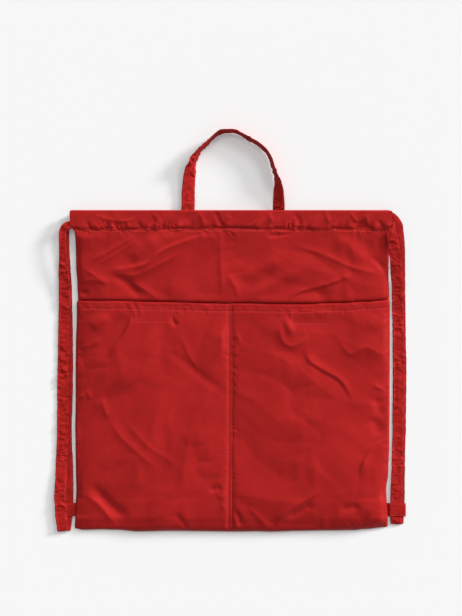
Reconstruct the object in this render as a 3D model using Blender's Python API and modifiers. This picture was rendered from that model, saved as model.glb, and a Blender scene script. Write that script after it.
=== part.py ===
"""A flat nylon drawstring bag, laid on its back: two sewn panels with a strap casing along the mouth,
a wide front pocket in two halves, two drawstring straps, their corner tabs and a short hand loop.

Metres, +X to the bag's right as seen from the front, +Y towards the mouth, +Z up from the table.
The origin is on the table, at the middle of the whole bag with its hand loop.
"""

import math
from collections import namedtuple

import bmesh
import bpy
from mathutils import Vector

# Bag body
BODY_WIDTH = 0.400
BODY_HEIGHT = 0.412
CASING_HEIGHT = 0.0275
CASING_OVERHANG = 0.0065
CASING_SHIFT = -0.0015
CORNER_LIFT = 0.0035
SEAM_ROLL = 0.0015
SEAM_SLOPE = 0.025
WAIST_PULL = 0.0030
LOFT = 0.0100
MOUTH_GAP = 0.0055
BODY_SHIFT = 0.0029

# Front pocket and its two closures
POCKET_HEIGHT = 0.2903
POCKET_HEM = 0.0090
POCKET_PUFF = 0.0026
POCKET_WRAP = 0.0006
DIVIDER_X = -0.0030
CLOSURE_WIDTH = 0.046
CLOSURE_HEIGHT = 0.015
CLOSURE_THICKNESS = 0.0008

# Drawstring straps, their corner tabs and the hand loop
STRAP_WIDTH = 0.0152
STRAP_GATHERED = 0.0098
STRAP_THICKNESS = 0.0012
TAB_HEIGHT = 0.017
TAB_REACH = 0.0240
TAB_THICKNESS = 0.0008
TAB_ROOT = 0.005
TAB_CLEARANCE = 0.0006
TAB_UP = 0.027
HANDLE_WIDTH = 0.017
HANDLE_THICKNESS = 0.0012
HANDLE_SPREAD = 0.1157
HANDLE_X = 0.0007
HANDLE_DROP = 0.102
HANDLE_FOOT = 0.022

# Cloth, and the running gap left between one sewn layer and the next
CLOTH = 0.0005
GAP = 0.0003

HALF_WIDTH = BODY_WIDTH / 2
BOTTOM_Y = -(BODY_HEIGHT + HANDLE_DROP) / 2
TOP_Y = BOTTOM_Y + BODY_HEIGHT
STITCH_Y = TOP_Y - CASING_HEIGHT
POCKET_Y = BOTTOM_Y + POCKET_HEIGHT
TAB_Y = BOTTOM_Y + TAB_UP
LAYER = CLOTH + GAP

# Heights of the middle of each layer, from the table up
BACK_Z = CLOTH / 2
STRAND_STEP = STRAP_THICKNESS + GAP
TUNNEL = 2 * STRAP_THICKNESS + 3 * GAP + CLOTH
BACK_HEM_Z = BACK_Z + TUNNEL
FRONT_HEM_Z = BACK_HEM_Z + CLOTH + MOUTH_GAP
CASING_Z = FRONT_HEM_Z + TUNNEL
STITCH_Z = FRONT_HEM_Z + LAYER
SEAM_Z = BACK_Z + LAYER
TAB_SEAM_Z = BACK_Z + CLOTH + 2 * TAB_THICKNESS + 3 * GAP

CASING_DIP = 0.0030
TUNNEL_LOW_Y = STITCH_Y + CASING_DIP + GAP + STRAP_GATHERED / 2
TUNNEL_HIGH_Y = TOP_Y - TUNNEL / 2 - CLOTH - GAP - STRAP_GATHERED / 2
TUNNEL_MIDDLE_Y = (TUNNEL_LOW_Y + TUNNEL_HIGH_Y) / 2
HEM_INSET = 0.0105
TURN_DEPTH = 0.0065
TURN_INSET = 0.0025

RED_NYLON = (0.42, 0.022, 0.020, 1.0)
RED_STRAP = (0.36, 0.018, 0.017, 1.0)
RED_TAPE = (0.30, 0.016, 0.016, 1.0)

# A soft fold in the cloth: its two ends as shares of the panel's width and height, half width, height
Fold = namedtuple("Fold", "u0 v0 u1 v1 half_width height")

UPPER_FOLDS = (
    Fold(0.02, 0.35, 0.32, 0.95, 0.011, 0.0020),
    Fold(0.10, 0.42, 0.46, 0.90, 0.010, 0.0022),
    Fold(0.10, 0.45, 0.26, 0.10, 0.010, 0.0018),
    Fold(0.44, 0.95, 0.47, 0.10, 0.012, 0.0016),
    Fold(0.50, 0.22, 0.62, 0.60, 0.014, 0.0018),
    Fold(0.60, 0.85, 0.95, 0.35, 0.011, 0.0022),
    Fold(0.72, 0.80, 0.88, 0.42, 0.012, 0.0016),
)
POCKET_FOLDS = (
    Fold(0.28, 0.90, 0.08, 0.60, 0.013, 0.0022),
    Fold(0.08, 0.62, 0.24, 0.22, 0.014, 0.0018),
    Fold(0.02, 0.80, 0.18, 0.94, 0.010, 0.0016),
    Fold(0.30, 0.86, 0.46, 0.60, 0.014, 0.0018),
    Fold(0.04, 0.30, 0.20, 0.04, 0.012, 0.0022),
    Fold(0.58, 0.95, 0.68, 0.78, 0.012, 0.0020),
    Fold(0.70, 0.84, 0.86, 0.56, 0.014, 0.0022),
    Fold(0.84, 0.48, 0.98, 0.62, 0.011, 0.0018),
    Fold(0.60, 0.04, 0.82, 0.24, 0.013, 0.0018),
    Fold(0.86, 0.08, 0.99, 0.34, 0.011, 0.0018),
)

# How each strap lies on its side of the bag, from its folded lower end (0) up to the casing (1).
# Each row is a share of the way up and how far outside the body's side the strand's middle lies.
StrapSide = namedtuple("StrapSide", "name side end_up front_run back_run front_up back_up back_exit_y")
OVER_TWO_TABS = 2 * TAB_THICKNESS + STRAND_STEP + 3 * GAP + STRAP_THICKNESS / 2

LEFT_STRAP = StrapSide(
    name="left_strap",
    side=-1,
    end_up=-0.0003,
    front_run=((0.0, 0.0180), (0.06, 0.0205), (0.11, 0.0216), (0.2, 0.0200), (0.33, 0.0181),
               (0.5, 0.0177), (0.67, 0.0166), (0.8, 0.0156), (0.9, 0.0172), (1.0, 0.0180)),
    back_run=((0.0, 0.0155), (0.06, 0.0130), (0.11, 0.0122), (0.2, 0.0126), (0.33, 0.0145),
              (0.5, 0.0129), (0.67, 0.0130), (0.8, 0.0142), (0.9, 0.0145), (1.0, 0.0150)),
    front_up=OVER_TWO_TABS,
    back_up=TAB_THICKNESS + 2 * GAP + STRAP_THICKNESS / 2,
    back_exit_y=TUNNEL_LOW_Y,
)
RIGHT_STRAP = StrapSide(
    name="right_strap",
    side=1,
    end_up=0.0082,
    front_run=((0.0, 0.0100), (0.06, 0.0100), (0.11, 0.0103), (0.2, 0.0118), (0.33, 0.0128),
               (0.5, 0.0133), (0.67, 0.0130), (0.8, 0.0126), (0.9, 0.0120), (1.0, 0.0112)),
    back_run=((0.0, 0.0120), (0.06, 0.0133), (0.11, 0.0134), (0.2, 0.0138), (0.33, 0.0150),
              (0.5, 0.0158), (0.67, 0.0148), (0.8, 0.0142), (0.9, 0.0141), (1.0, 0.0138)),
    front_up=STRAND_STEP + TAB_THICKNESS + 2 * GAP + STRAP_THICKNESS / 2,
    back_up=GAP + STRAP_THICKNESS / 2,
    back_exit_y=TUNNEL_HIGH_Y,
)

# Where the hand loop bends, from above: shares of its spread across and its drop up, and its twist
Bend = namedtuple("Bend", "across up twist")
HANDLE_ROUTE = (
    Bend(-0.500, -0.215, 0), Bend(-0.500, 0.00, 0), Bend(-0.498, 0.24, 5), Bend(-0.478, 0.46, 18),
    Bend(-0.440, 0.62, 48), Bend(-0.378, 0.735, 70), Bend(-0.300, 0.825, 76), Bend(-0.215, 0.925, 78),
    Bend(-0.140, 0.985, 80), Bend(-0.058, 0.999, 80), Bend(0.022, 0.992, 80), Bend(0.092, 0.955, 78),
    Bend(0.165, 0.905, 78), Bend(0.242, 0.860, 78), Bend(0.322, 0.790, 76), Bend(0.384, 0.710, 74),
    Bend(0.418, 0.620, 72), Bend(0.452, 0.500, 66), Bend(0.484, 0.390, 48), Bend(0.500, 0.270, 14),
    Bend(0.502, 0.140, 3), Bend(0.500, 0.00, 0), Bend(0.500, -0.215, 0),
)


def clear_scene():
    """Removes whatever the startup file holds."""
    for existing in list(bpy.data.objects):
        bpy.data.objects.remove(existing, do_unlink=True)


def smooth_step(value):
    """0 below 0, 1 above 1, and a smooth turn between them."""
    t = min(1.0, max(0.0, value))
    return t * t * (3 - 2 * t)


def mix(a, b, share):
    return a + (b - a) * share


def through(points, share):
    """The value at a share of the way through (share, value) points, on a smooth curve."""
    for (s0, v0), (s1, v1) in zip(points, points[1:]):
        if share <= s1:
            break
    return mix(v0, v1, smooth_step((share - s0) / (s1 - s0)))


def catmull_rom(points, samples):
    """Points on a smooth curve through all of the given ones, with this many steps between each two."""
    padded = [points[0], *points, points[-1]]
    curve = []
    for p0, p1, p2, p3 in zip(padded, padded[1:], padded[2:], padded[3:]):
        for step in range(samples):
            t = step / samples
            curve.append(
                0.5 * (2 * p1 + (p2 - p0) * t + (2 * p0 - 5 * p1 + 4 * p2 - p3) * t * t
                       + (3 * p1 - p0 - 3 * p2 + p3) * t ** 3)
            )
    return [*curve, points[-1]]


def material(name, colour, roughness):
    """A plain finish: the cloth is a slightly glossy dielectric."""
    made = bpy.data.materials.new(name)
    made.use_nodes = True
    surface = made.node_tree.nodes["Principled BSDF"]
    surface.inputs["Base Color"].default_value = colour
    surface.inputs["Roughness"].default_value = roughness
    surface.inputs["Metallic"].default_value = 0.0
    return made


def sheet(name, place, columns, rows, thickness, finish, closed=False):
    """A strip or panel of cloth: a grid whose points are placed by column and row, then given a thickness."""
    mesh = bpy.data.meshes.new(name)
    grid = bmesh.new()
    bmesh.ops.create_grid(grid, x_segments=columns, y_segments=rows, size=0.5)
    for vertex in grid.verts:
        column = round((vertex.co.x + 0.5) * columns)
        row = round((vertex.co.y + 0.5) * rows)
        vertex.co = place(column, row)
    if closed:
        bmesh.ops.remove_doubles(grid, verts=grid.verts, dist=GAP / 10)
    grid.to_mesh(mesh)
    grid.free()
    mesh.materials.append(finish)
    mesh.shade_smooth()
    made = bpy.data.objects.new(name, mesh)
    solid = made.modifiers.new("Cloth", "SOLIDIFY")
    solid.thickness = thickness
    solid.offset = 0.0
    return made


def ribbon(name, sections, thickness, finish, closed=False):
    """A flat strap swept through (middle, half-width vector) sections."""
    def place(column, row):
        middle, half = sections[row % len(sections)] if closed else sections[row]
        return middle + half * (2 * column - 1)

    rows = len(sections) if closed else len(sections) - 1
    return sheet(name, place, 1, rows, thickness, finish, closed)


def fold_height(folds, u, v, panel_width, panel_height):
    """Sum of the soft folds at a point of a panel, given as shares of its width and height."""
    here = Vector((u * panel_width, v * panel_height))
    total = 0.0
    for fold in folds:
        start = Vector((fold.u0 * panel_width, fold.v0 * panel_height))
        along = Vector((fold.u1 * panel_width, fold.v1 * panel_height)) - start
        t = min(1.0, max(0.0, (here - start).dot(along) / along.length_squared))
        away = (here - (start + along * t)).length / fold.half_width
        total += fold.height * math.exp(-away * away) * math.sin(math.pi * mix(0.15, 0.85, t))
    return total


def bottom_edge(x):
    """The bottom edge bows up a little towards the corners."""
    return BOTTOM_Y + CORNER_LIFT * min(1.0, abs(x) / HALF_WIDTH) ** 4


def side_edge(side, y):
    """The side seam, drawn in a little above each lower corner."""
    height = (y - BOTTOM_Y) / BODY_HEIGHT
    pull = WAIST_PULL * math.exp(-(((height - 0.14) / 0.11) ** 2))
    return side * (HALF_WIDTH - pull * (1.0 if side > 0 else 0.25))


def edge_profile(distance):
    """How fast the upper cloth rises from a seam: a small roll at once, then a long shallow slope."""
    roll = 1 - math.exp(-distance / SEAM_ROLL)
    slope = 1 - math.exp(-distance / SEAM_SLOPE)
    return 0.42 * roll + 0.58 * slope


def seam_height(y, base, over_tab):
    """Height of the side seam's upper layer, lifted where a corner tab is sewn into it."""
    past_tab = abs(y - TAB_Y) - TAB_HEIGHT / 2 - TAB_CLEARANCE
    return mix(over_tab, base, smooth_step(past_tab / (TAB_HEIGHT / 2)))


def front_height(x, y):
    """Middle of the front panel's cloth, from the bottom seam up to the casing's stitch line."""
    side = 1 if x > 0 else -1
    from_side = max(0.0, abs(side_edge(side, y)) - abs(x))
    from_bottom = max(0.0, y - bottom_edge(x))
    seam = seam_height(y, SEAM_Z, TAB_SEAM_Z)
    rise = edge_profile(from_side) * edge_profile(from_bottom)
    body = mix(seam, LOFT, rise)
    slit = max(STRAP_WIDTH * 2, CASING_HEIGHT)
    return mix(body, STITCH_Z, smooth_step((y - (STITCH_Y - slit)) / slit))


def upper_fold(x, y):
    """Folds of the front panel between the pocket's mouth and the casing."""
    height = STITCH_Y - POCKET_Y
    u, v = (x + HALF_WIDTH) / BODY_WIDTH, (y - POCKET_Y) / height
    if not 0.0 < v < 1.0:
        return 0.0
    fade = smooth_step(v / 0.15) * smooth_step((1 - v) / 0.12)
    edge = smooth_step(u / 0.05) * smooth_step((1 - u) / 0.05)
    return fade * edge * fold_height(UPPER_FOLDS, u, v, BODY_WIDTH, height)


def closure_x(side):
    """Each closure sits in the middle of its half of the pocket."""
    return (DIVIDER_X + side * HALF_WIDTH) / 2


CLOSURE_Y = POCKET_Y - POCKET_HEM - GAP - CLOSURE_HEIGHT / 2
CLOSURE_STACK = 2 * CLOSURE_THICKNESS + 3 * GAP + CLOTH


def over_closure(x, y):
    """1 over either closure strip, fading to 0 around it."""
    found = 0.0
    for side in (-1, 1):
        past_x = abs(x - closure_x(side)) - CLOSURE_WIDTH / 2 - 2 * GAP
        past_y = abs(y - CLOSURE_Y) - CLOSURE_HEIGHT / 2 - 2 * GAP
        fade_x = 1 - smooth_step((past_x - PANEL_STEP) / PANEL_STEP)
        fade_y = 1 - smooth_step((past_y - PANEL_STEP / 2) / PANEL_STEP)
        found = max(found, fade_x * fade_y)
    return found


def pocket_height(x, y):
    """Middle of the pocket's cloth: it lies on the front panel at its seams and puffs up between them."""
    side = 1 if x > 0 else -1
    from_side = max(0.0, abs(side_edge(side, y)) - abs(x))
    from_bottom = max(0.0, y - bottom_edge(x))
    from_divider = abs(x - DIVIDER_X)
    puff = edge_profile(from_side) * edge_profile(from_bottom) * edge_profile(from_divider)
    open_top = smooth_step((y - (POCKET_Y - 3 * POCKET_HEM)) / (2 * POCKET_HEM))
    hem_room = LAYER * open_top
    lifted = POCKET_PUFF * puff
    lifted = max(lifted, (CLOSURE_STACK - LAYER + GAP) * over_closure(x, y))
    u, v = (x + HALF_WIDTH) / BODY_WIDTH, (y - BOTTOM_Y) / POCKET_HEIGHT
    folds = fold_height(POCKET_FOLDS, u, v, BODY_WIDTH, POCKET_HEIGHT) * puff * (1 - open_top)
    return front_height(x, y) + LAYER + GAP / 2 + hem_room + lifted + folds


# Spacing of the panels' points: close together at the seams, where the cloth turns down
PANEL_STEP = 0.0185
SEAM_STEPS = (0.0, 0.002, 0.006, 0.013)
TAB_LOW = TAB_UP - TAB_HEIGHT / 2 - TAB_CLEARANCE
TAB_HIGH = TAB_UP + TAB_HEIGHT / 2 + TAB_CLEARANCE
TAB_STEPS = (TAB_LOW, TAB_UP, TAB_HIGH, TAB_HIGH + TAB_HEIGHT / 2)
WAIST_STEPS = (0.058, 0.073, 0.088, 0.104)


def spread(low, high, step):
    """Even stations from low to high, about a step apart, without the first."""
    count = max(1, round((high - low) / step))
    return [mix(low, high, (i + 1) / count) for i in range(count)]


def column_shares():
    """Shares of the width at which a panel has a column, the same for all of the panels."""
    near = [step / BODY_WIDTH for step in SEAM_STEPS]
    middle = (DIVIDER_X + HALF_WIDTH) / BODY_WIDTH
    step = PANEL_STEP / BODY_WIDTH
    left = near + spread(near[-1], middle, step)
    right = [1 - share for share in reversed(near)]
    return left + spread(middle, right[0], step) + right[1:]


def row_y(share, rise):
    """Height of a row at a column: the lowest rows follow the bowed bottom edge, the rest are straight."""
    lift = bottom_edge(mix(-HALF_WIDTH, HALF_WIDTH, share)) - BOTTOM_Y
    return BOTTOM_Y + rise + lift * max(0.0, 1 - rise / TAB_LOW)


def across(share, y, left_out=0.0, right_out=0.0):
    """X of a column at a height, from the left side seam to the right one."""
    return mix(side_edge(-1, y) - left_out, side_edge(1, y) + right_out, share)


def body_rows(top, coarse_from):
    """Heights above the bottom edge at which a panel has a row; wide steps where another panel covers it."""
    rows = [*SEAM_STEPS, *TAB_STEPS, *WAIST_STEPS]
    if coarse_from:
        rows += spread(rows[-1], coarse_from, 1.7 * PANEL_STEP)
    return rows + spread(rows[-1], top, 0.72 * PANEL_STEP)


def casing_arc(steps):
    """The fold at the mouth: (height up from the tunnel's middle line, height off it) round half a turn."""
    radius = TUNNEL / 2
    return [(radius * math.sin(math.pi * i / steps), radius * math.cos(math.pi * i / steps))
            for i in range(steps + 1)]


def casing_ends(share):
    """How far the casing stands out past the side seams, to the left and to the right."""
    return (CASING_OVERHANG - CASING_SHIFT) * share, (CASING_OVERHANG + CASING_SHIFT) * share


def front_panel(finish):
    """Front panel with its strap casing: the cloth runs up, folds back over the mouth and comes down inside."""
    shares = column_shares()
    rise = body_rows(STITCH_Y - BOTTOM_Y, POCKET_HEIGHT - PANEL_STEP)
    arc = casing_arc(4)
    fold_y = TOP_Y - TUNNEL / 2 - CLOTH / 2
    casing = [(STITCH_Y + CASING_DIP / 2, STITCH_Z + 0.6 * (CASING_Z - STITCH_Z), 0.35, 0.0),
              (STITCH_Y + CASING_DIP, CASING_Z, 0.7, 0.0),
              (TUNNEL_MIDDLE_Y, CASING_Z, 1.0, 0.0)]
    casing += [(fold_y + up, (CASING_Z + FRONT_HEM_Z) / 2 + off, 1.0, 0.5 - 0.5 * off / arc[0][1])
               for up, off in arc]
    casing += [(TUNNEL_MIDDLE_Y, FRONT_HEM_Z, 1.0, 1.0), (STITCH_Y, FRONT_HEM_Z, 1.0, 1.0)]

    def place(column, row):
        share = shares[column]
        if row < len(rise):
            y = row_y(share, rise[row])
            x = across(share, y)
            return Vector((x, y, front_height(x, y) + upper_fold(x, y)))
        y, z, out, inset = casing[row - len(rise)]
        left, right = casing_ends(out)
        return Vector((across(share, y, left - HEM_INSET * inset, right - HEM_INSET * inset), y, z))

    return sheet("front_panel", place, len(shares) - 1, len(rise) + len(casing) - 1, CLOTH, finish)


def back_panel(finish):
    """Back panel with its own strap casing; its outer face lies flat on the table."""
    shares = column_shares()[::2]
    rise = [*SEAM_STEPS[::3], *TAB_STEPS[::3]]
    rise += spread(rise[-1], STITCH_Y - BOTTOM_Y, 2.4 * PANEL_STEP)
    arc = casing_arc(4)
    fold_y = TOP_Y - TUNNEL / 2 - CLOTH / 2
    middle_z = (BACK_Z + BACK_HEM_Z) / 2
    casing = [(STITCH_Y + CASING_DIP, BACK_Z, 0.7, 0.0), (TUNNEL_MIDDLE_Y, BACK_Z, 1.0, 0.0)]
    casing += [(fold_y + up, middle_z - off, 1.0, 0.5 - 0.5 * off / arc[0][1]) for up, off in arc]
    casing += [(TUNNEL_MIDDLE_Y, BACK_HEM_Z, 1.0, 1.0),
               (STITCH_Y + CASING_DIP, BACK_HEM_Z, 1.0, 1.0),
               (STITCH_Y, BACK_Z + LAYER, 1.0, 1.0)]

    def place(column, row):
        share = shares[column]
        if row < len(rise):
            y = row_y(share, rise[row])
            return Vector((across(share, y), y, BACK_Z))
        y, z, out, inset = casing[row - len(rise)]
        left, right = casing_ends(out)
        return Vector((across(share, y, left - HEM_INSET * inset, right - HEM_INSET * inset), y, z))

    return sheet("back_panel", place, len(shares) - 1, len(rise) + len(casing) - 1, CLOTH, finish)


def pocket_panel(finish):
    """Pocket panel: sewn down at both sides, the bottom and the divider, with a hem turned in at its mouth."""
    shares = column_shares()
    rise = body_rows(POCKET_HEIGHT, None)
    hem = ((0.0, 0.5), (POCKET_HEM / 3, 1.0), (POCKET_HEM, 1.0))

    def wrapped(x, share):
        """The pocket's cloth lies outside the front panel's where both roll down to a side seam."""
        out = POCKET_WRAP * (2 * share - 1)
        return x + out * abs(2 * share - 1) ** 8

    def place(column, row):
        share = shares[column]
        if row < len(rise):
            y = row_y(share, rise[row])
            x = across(share, y)
            wrapped_y = y - POCKET_WRAP * max(0.0, 1 - rise[row] / TAB_LOW)
            return Vector((wrapped(x, share), wrapped_y, pocket_height(x, y)))
        down, under = hem[row - len(rise)]
        y = POCKET_Y - down + (CLOTH if down == 0.0 else 0.0)
        x = across(share, y)
        return Vector((wrapped(x, share), y, pocket_height(x, y) - LAYER * under))

    return sheet("pocket_panel", place, len(shares) - 1, len(rise) + len(hem) - 1, CLOTH, finish)


def closure_strip(name, side, from_front, finish):
    """One half of a hook-and-loop closure, on the front panel or under the pocket's cloth."""
    columns, rows = 4, 2
    centre = closure_x(side)

    def place(column, row):
        x = centre + CLOSURE_WIDTH * (column / columns - 0.5)
        y = CLOSURE_Y + CLOSURE_HEIGHT * (row / rows - 0.5)
        return Vector((x, y, front_height(x, y) + from_front))

    return sheet(name, place, columns, rows, CLOSURE_THICKNESS, finish)


def strap_sections(strap):
    """A closed ring: up the front strand, across the front casing, back through the back casing, down, and
    round its own folded lower end. Worked out with X pointing away from the bag on the strap's side."""
    near_end = HALF_WIDTH + CASING_OVERHANG + strap.side * CASING_SHIFT
    far_end = -(HALF_WIDTH + CASING_OVERHANG - strap.side * CASING_SHIFT) + TURN_INSET
    low_y = BOTTOM_Y + strap.end_up
    side_steps, tunnel_steps, turn_steps = 26, 14, 6
    inward, down = Vector((-1, 0, 0)), Vector((0, -1, 0))
    upper = strap.side < 0
    over_other = STRAND_STEP if upper else 0.0
    front_z = FRONT_HEM_Z + CLOTH / 2 + GAP + STRAP_THICKNESS / 2 + over_other
    back_z = BACK_Z + CLOTH / 2 + GAP + STRAP_THICKNESS / 2 + over_other
    fold_radius = (strap.front_up - strap.back_up) / 2

    def strand(run, z_low, z_rest, z_high, exit_y):
        """The free strand beside the bag, from just above the fold to the foot of the turn into the casing."""
        top_y = exit_y - STRAP_WIDTH * 0.8
        points = []
        for i in range(side_steps + 1):
            share = i / side_steps
            y = mix(low_y + fold_radius, top_y, share)
            z = mix(z_low, z_rest, smooth_step((share - 0.12) / 0.12))
            z = mix(z, z_high, smooth_step((share - 0.72) / 0.28))
            width = mix(STRAP_WIDTH, STRAP_GATHERED, smooth_step((share - 0.7) / 0.22))
            points.append((Vector((HALF_WIDTH + through(run, share), y, z)), inward * width / 2))
        return points

    def corner(start, z, exit_y):
        """A quarter turn, gathered narrow, from the strand into the casing's end."""
        centre = Vector((near_end, start.y, 0))
        reach, climb = start.x - near_end, exit_y - start.y
        points = []
        for i in range(1, turn_steps + 1):
            angle = math.pi / 2 * i / turn_steps
            at = centre + Vector((reach * math.cos(angle), climb * math.sin(angle), z))
            half = inward * math.cos(angle) + down * math.sin(angle)
            points.append((at, half * STRAP_GATHERED / 2))
        return points

    def tunnel(z, near_y, far_y):
        """The strand inside a casing, gathered at both ends and at its full width between them."""
        points = []
        for i in range(1, tunnel_steps + 1):
            share = i / tunnel_steps
            x = mix(near_end, far_end + TURN_DEPTH, share)
            spread_out = smooth_step(share / 0.2) * smooth_step((1 - share) / 0.2)
            end_y = mix(near_y, far_y, smooth_step(share))
            y = mix(end_y, TUNNEL_MIDDLE_Y, spread_out)
            points.append((Vector((x, y, z)), down * mix(STRAP_GATHERED, STRAP_WIDTH, spread_out) / 2))
        return points

    far_back_y = TUNNEL_LOW_Y if upper else TUNNEL_HIGH_Y
    rest_z = STRAP_THICKNESS / 2
    front = strand(strap.front_run, strap.front_up, rest_z + STRAND_STEP, front_z, TUNNEL_LOW_Y)
    back = strand(strap.back_run, strap.back_up, rest_z, back_z, strap.back_exit_y)
    ring = list(front)
    ring += corner(front[-1][0], front_z, TUNNEL_LOW_Y)
    ring += tunnel(front_z, TUNNEL_LOW_Y, TUNNEL_HIGH_Y)
    for i in range(1, 2 * turn_steps):
        angle = math.pi * i / (2 * turn_steps)
        share = (1 - math.cos(angle)) / 2
        y = mix(TUNNEL_HIGH_Y, far_back_y, smooth_step((share - 0.22) / 0.56))
        at = Vector((far_end + TURN_DEPTH * (1 - math.sin(angle)), y, mix(front_z, back_z, share)))
        ring.append((at, down * STRAP_GATHERED / 2))
    back_tunnel = tunnel(back_z, strap.back_exit_y, far_back_y)
    back_corner = corner(back[-1][0], back_z, strap.back_exit_y)
    ring += list(reversed(back_corner + back_tunnel))
    ring += list(reversed(back))
    for i in range(1, turn_steps):
        angle = math.pi * i / turn_steps
        share = (1 - math.cos(angle)) / 2
        x = mix(back[0][0].x, front[0][0].x, share)
        z = mix(strap.back_up, strap.front_up, share)
        ring.append((Vector((x, low_y + fold_radius * (1 - math.sin(angle)), z)), inward * STRAP_WIDTH / 2))
    return [(Vector((strap.side * at.x, at.y, at.z)), Vector((strap.side * half.x, half.y, half.z)))
            for at, half in ring]


def corner_tab(name, side, low_z, near_strand, finish):
    """A strip folded round one strand of the strap, both ends sewn into the side seam."""
    step = TAB_THICKNESS + STRAP_THICKNESS + 2 * GAP
    seam = abs(side_edge(side, TAB_Y))
    out = seam + TAB_REACH
    level = HALF_WIDTH + near_strand - STRAP_WIDTH / 2 - GAP
    root_low = CLOTH + GAP + TAB_THICKNESS / 2
    root_high = root_low + TAB_THICKNESS + GAP
    turn_steps = 6
    route = [(seam - TAB_ROOT, root_low), (seam + 2.5 * GAP, root_low), (level, low_z)]
    route += [(out - step / 2 * (1 - math.sin(math.pi * i / turn_steps)),
               low_z + step / 2 * (1 - math.cos(math.pi * i / turn_steps))) for i in range(turn_steps + 1)]
    route += [(level, low_z + step), (seam + 2.5 * GAP, root_high), (seam - TAB_ROOT, root_high)]
    half = Vector((0, TAB_HEIGHT / 2, 0))
    sections = [(Vector((side * x, TAB_Y, z)), half * side) for x, z in route]
    return ribbon(name, sections, TAB_THICKNESS, finish)


def hand_loop(finish):
    """A flat strap sewn inside the back of the mouth; it stands on edge where it bends over."""
    rest_z = HANDLE_THICKNESS / 2 + GAP / 2
    foot_z = BACK_HEM_Z + CLOTH / 2 + GAP + HANDLE_THICKNESS / 2
    scale_up = HANDLE_DROP - HANDLE_THICKNESS
    points = []
    for bend in HANDLE_ROUTE:
        lean = math.sin(math.radians(bend.twist))
        on_table = HANDLE_WIDTH / 2 * lean + rest_z
        drop = smooth_step(bend.up / 0.4)
        up = bend.up * scale_up if bend.up > 0 else -bend.up / HANDLE_ROUTE[0].up * HANDLE_FOOT
        x = HANDLE_X + bend.across * HANDLE_SPREAD
        points.append(Vector((x, TOP_Y + up, mix(foot_z, on_table, drop))))
    twists = [Vector((math.radians(bend.twist), 0, 0)) for bend in HANDLE_ROUTE]
    line, turns = catmull_rom(points, 3), catmull_rom(twists, 3)
    sections = []
    for i, at in enumerate(line):
        ahead = line[min(i + 1, len(line) - 1)] - line[max(i - 1, 0)]
        flat = Vector((ahead.y, -ahead.x, 0)).normalized()
        twist = turns[i].x
        sections.append((at, (flat * math.cos(twist) + Vector((0, 0, math.sin(twist)))) * HANDLE_WIDTH / 2))
    return ribbon("hand_loop", sections, HANDLE_THICKNESS, finish)


def build():
    """Makes every sewn piece and gathers them in one collection under one empty."""
    clear_scene()
    bag = bpy.data.collections.new("drawstring_bag")
    bpy.context.scene.collection.children.link(bag)
    origin = bpy.data.objects.new("bag_origin", None)
    bag.objects.link(origin)
    origin.location.x = BODY_SHIFT
    nylon = material("red_nylon", RED_NYLON, 0.42)
    strap_cloth = material("red_strap", RED_STRAP, 0.5)
    tape = material("red_tape", RED_TAPE, 0.85)
    loop_up = CLOTH / 2 + GAP + CLOSURE_THICKNESS / 2
    pieces = [back_panel(nylon), front_panel(nylon), pocket_panel(nylon), hand_loop(strap_cloth)]
    for side, word in ((-1, "left"), (1, "right")):
        pieces.append(closure_strip(word + "_loop_strip", side, loop_up, tape))
        pieces.append(closure_strip(word + "_hook_strip", side, loop_up + CLOSURE_THICKNESS + GAP, tape))
    for strap in (LEFT_STRAP, RIGHT_STRAP):
        pieces.append(ribbon(strap.name, strap_sections(strap), STRAP_THICKNESS, strap_cloth, closed=True))
    left_low = GAP + TAB_THICKNESS / 2
    left_inner = min(offset for _, offset in LEFT_STRAP.back_run[:4])
    right_inner = min(offset for _, offset in RIGHT_STRAP.front_run[:4])
    pieces.append(corner_tab("left_tab", -1, left_low, left_inner, strap_cloth))
    pieces.append(corner_tab("right_tab", 1, left_low + STRAND_STEP, right_inner, strap_cloth))
    for piece in pieces:
        bag.objects.link(piece)
        piece.parent = origin


build()
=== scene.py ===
"""Looks for the flat nylon drawstring bag: fine cloth, seams, stitches, finishes, light and camera.

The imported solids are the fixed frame. Each piece made here stands for one of them, in the same place,
in metres. +Y runs from the bag's bottom seam to its mouth and +Z up from the table it lies on.
"""

import logging
import math
from dataclasses import dataclass, field
from enum import Enum

import bpy
import numpy as np
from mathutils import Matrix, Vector


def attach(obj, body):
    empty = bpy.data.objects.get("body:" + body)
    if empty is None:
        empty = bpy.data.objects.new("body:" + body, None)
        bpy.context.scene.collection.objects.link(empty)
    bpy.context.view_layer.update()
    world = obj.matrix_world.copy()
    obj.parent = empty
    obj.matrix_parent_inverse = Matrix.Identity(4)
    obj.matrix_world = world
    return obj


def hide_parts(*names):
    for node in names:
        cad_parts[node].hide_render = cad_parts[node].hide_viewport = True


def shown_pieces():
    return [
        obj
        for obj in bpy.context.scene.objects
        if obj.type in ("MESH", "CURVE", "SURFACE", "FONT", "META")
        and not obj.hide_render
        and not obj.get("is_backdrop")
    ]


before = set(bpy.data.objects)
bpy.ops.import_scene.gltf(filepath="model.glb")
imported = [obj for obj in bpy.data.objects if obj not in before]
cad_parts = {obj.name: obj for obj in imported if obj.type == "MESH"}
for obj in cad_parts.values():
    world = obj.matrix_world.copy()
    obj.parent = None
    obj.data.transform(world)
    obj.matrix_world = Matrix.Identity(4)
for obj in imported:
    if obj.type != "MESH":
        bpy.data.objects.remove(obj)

Array = np.ndarray
Piece = bpy.types.Object

MM = 0.001
LOG = logging.getLogger("drawstring_bag")


# ---- Small helpers ----


def smooth(value: Array) -> Array:
    """0 below 0, 1 above 1, and a smooth turn between them."""
    t = np.clip(value, 0.0, 1.0)
    return t * t * (3 - 2 * t)


def mix(a: Array, b: Array, share: Array) -> Array:
    """The value this share of the way from a to b."""
    return a + (b - a) * share


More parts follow.
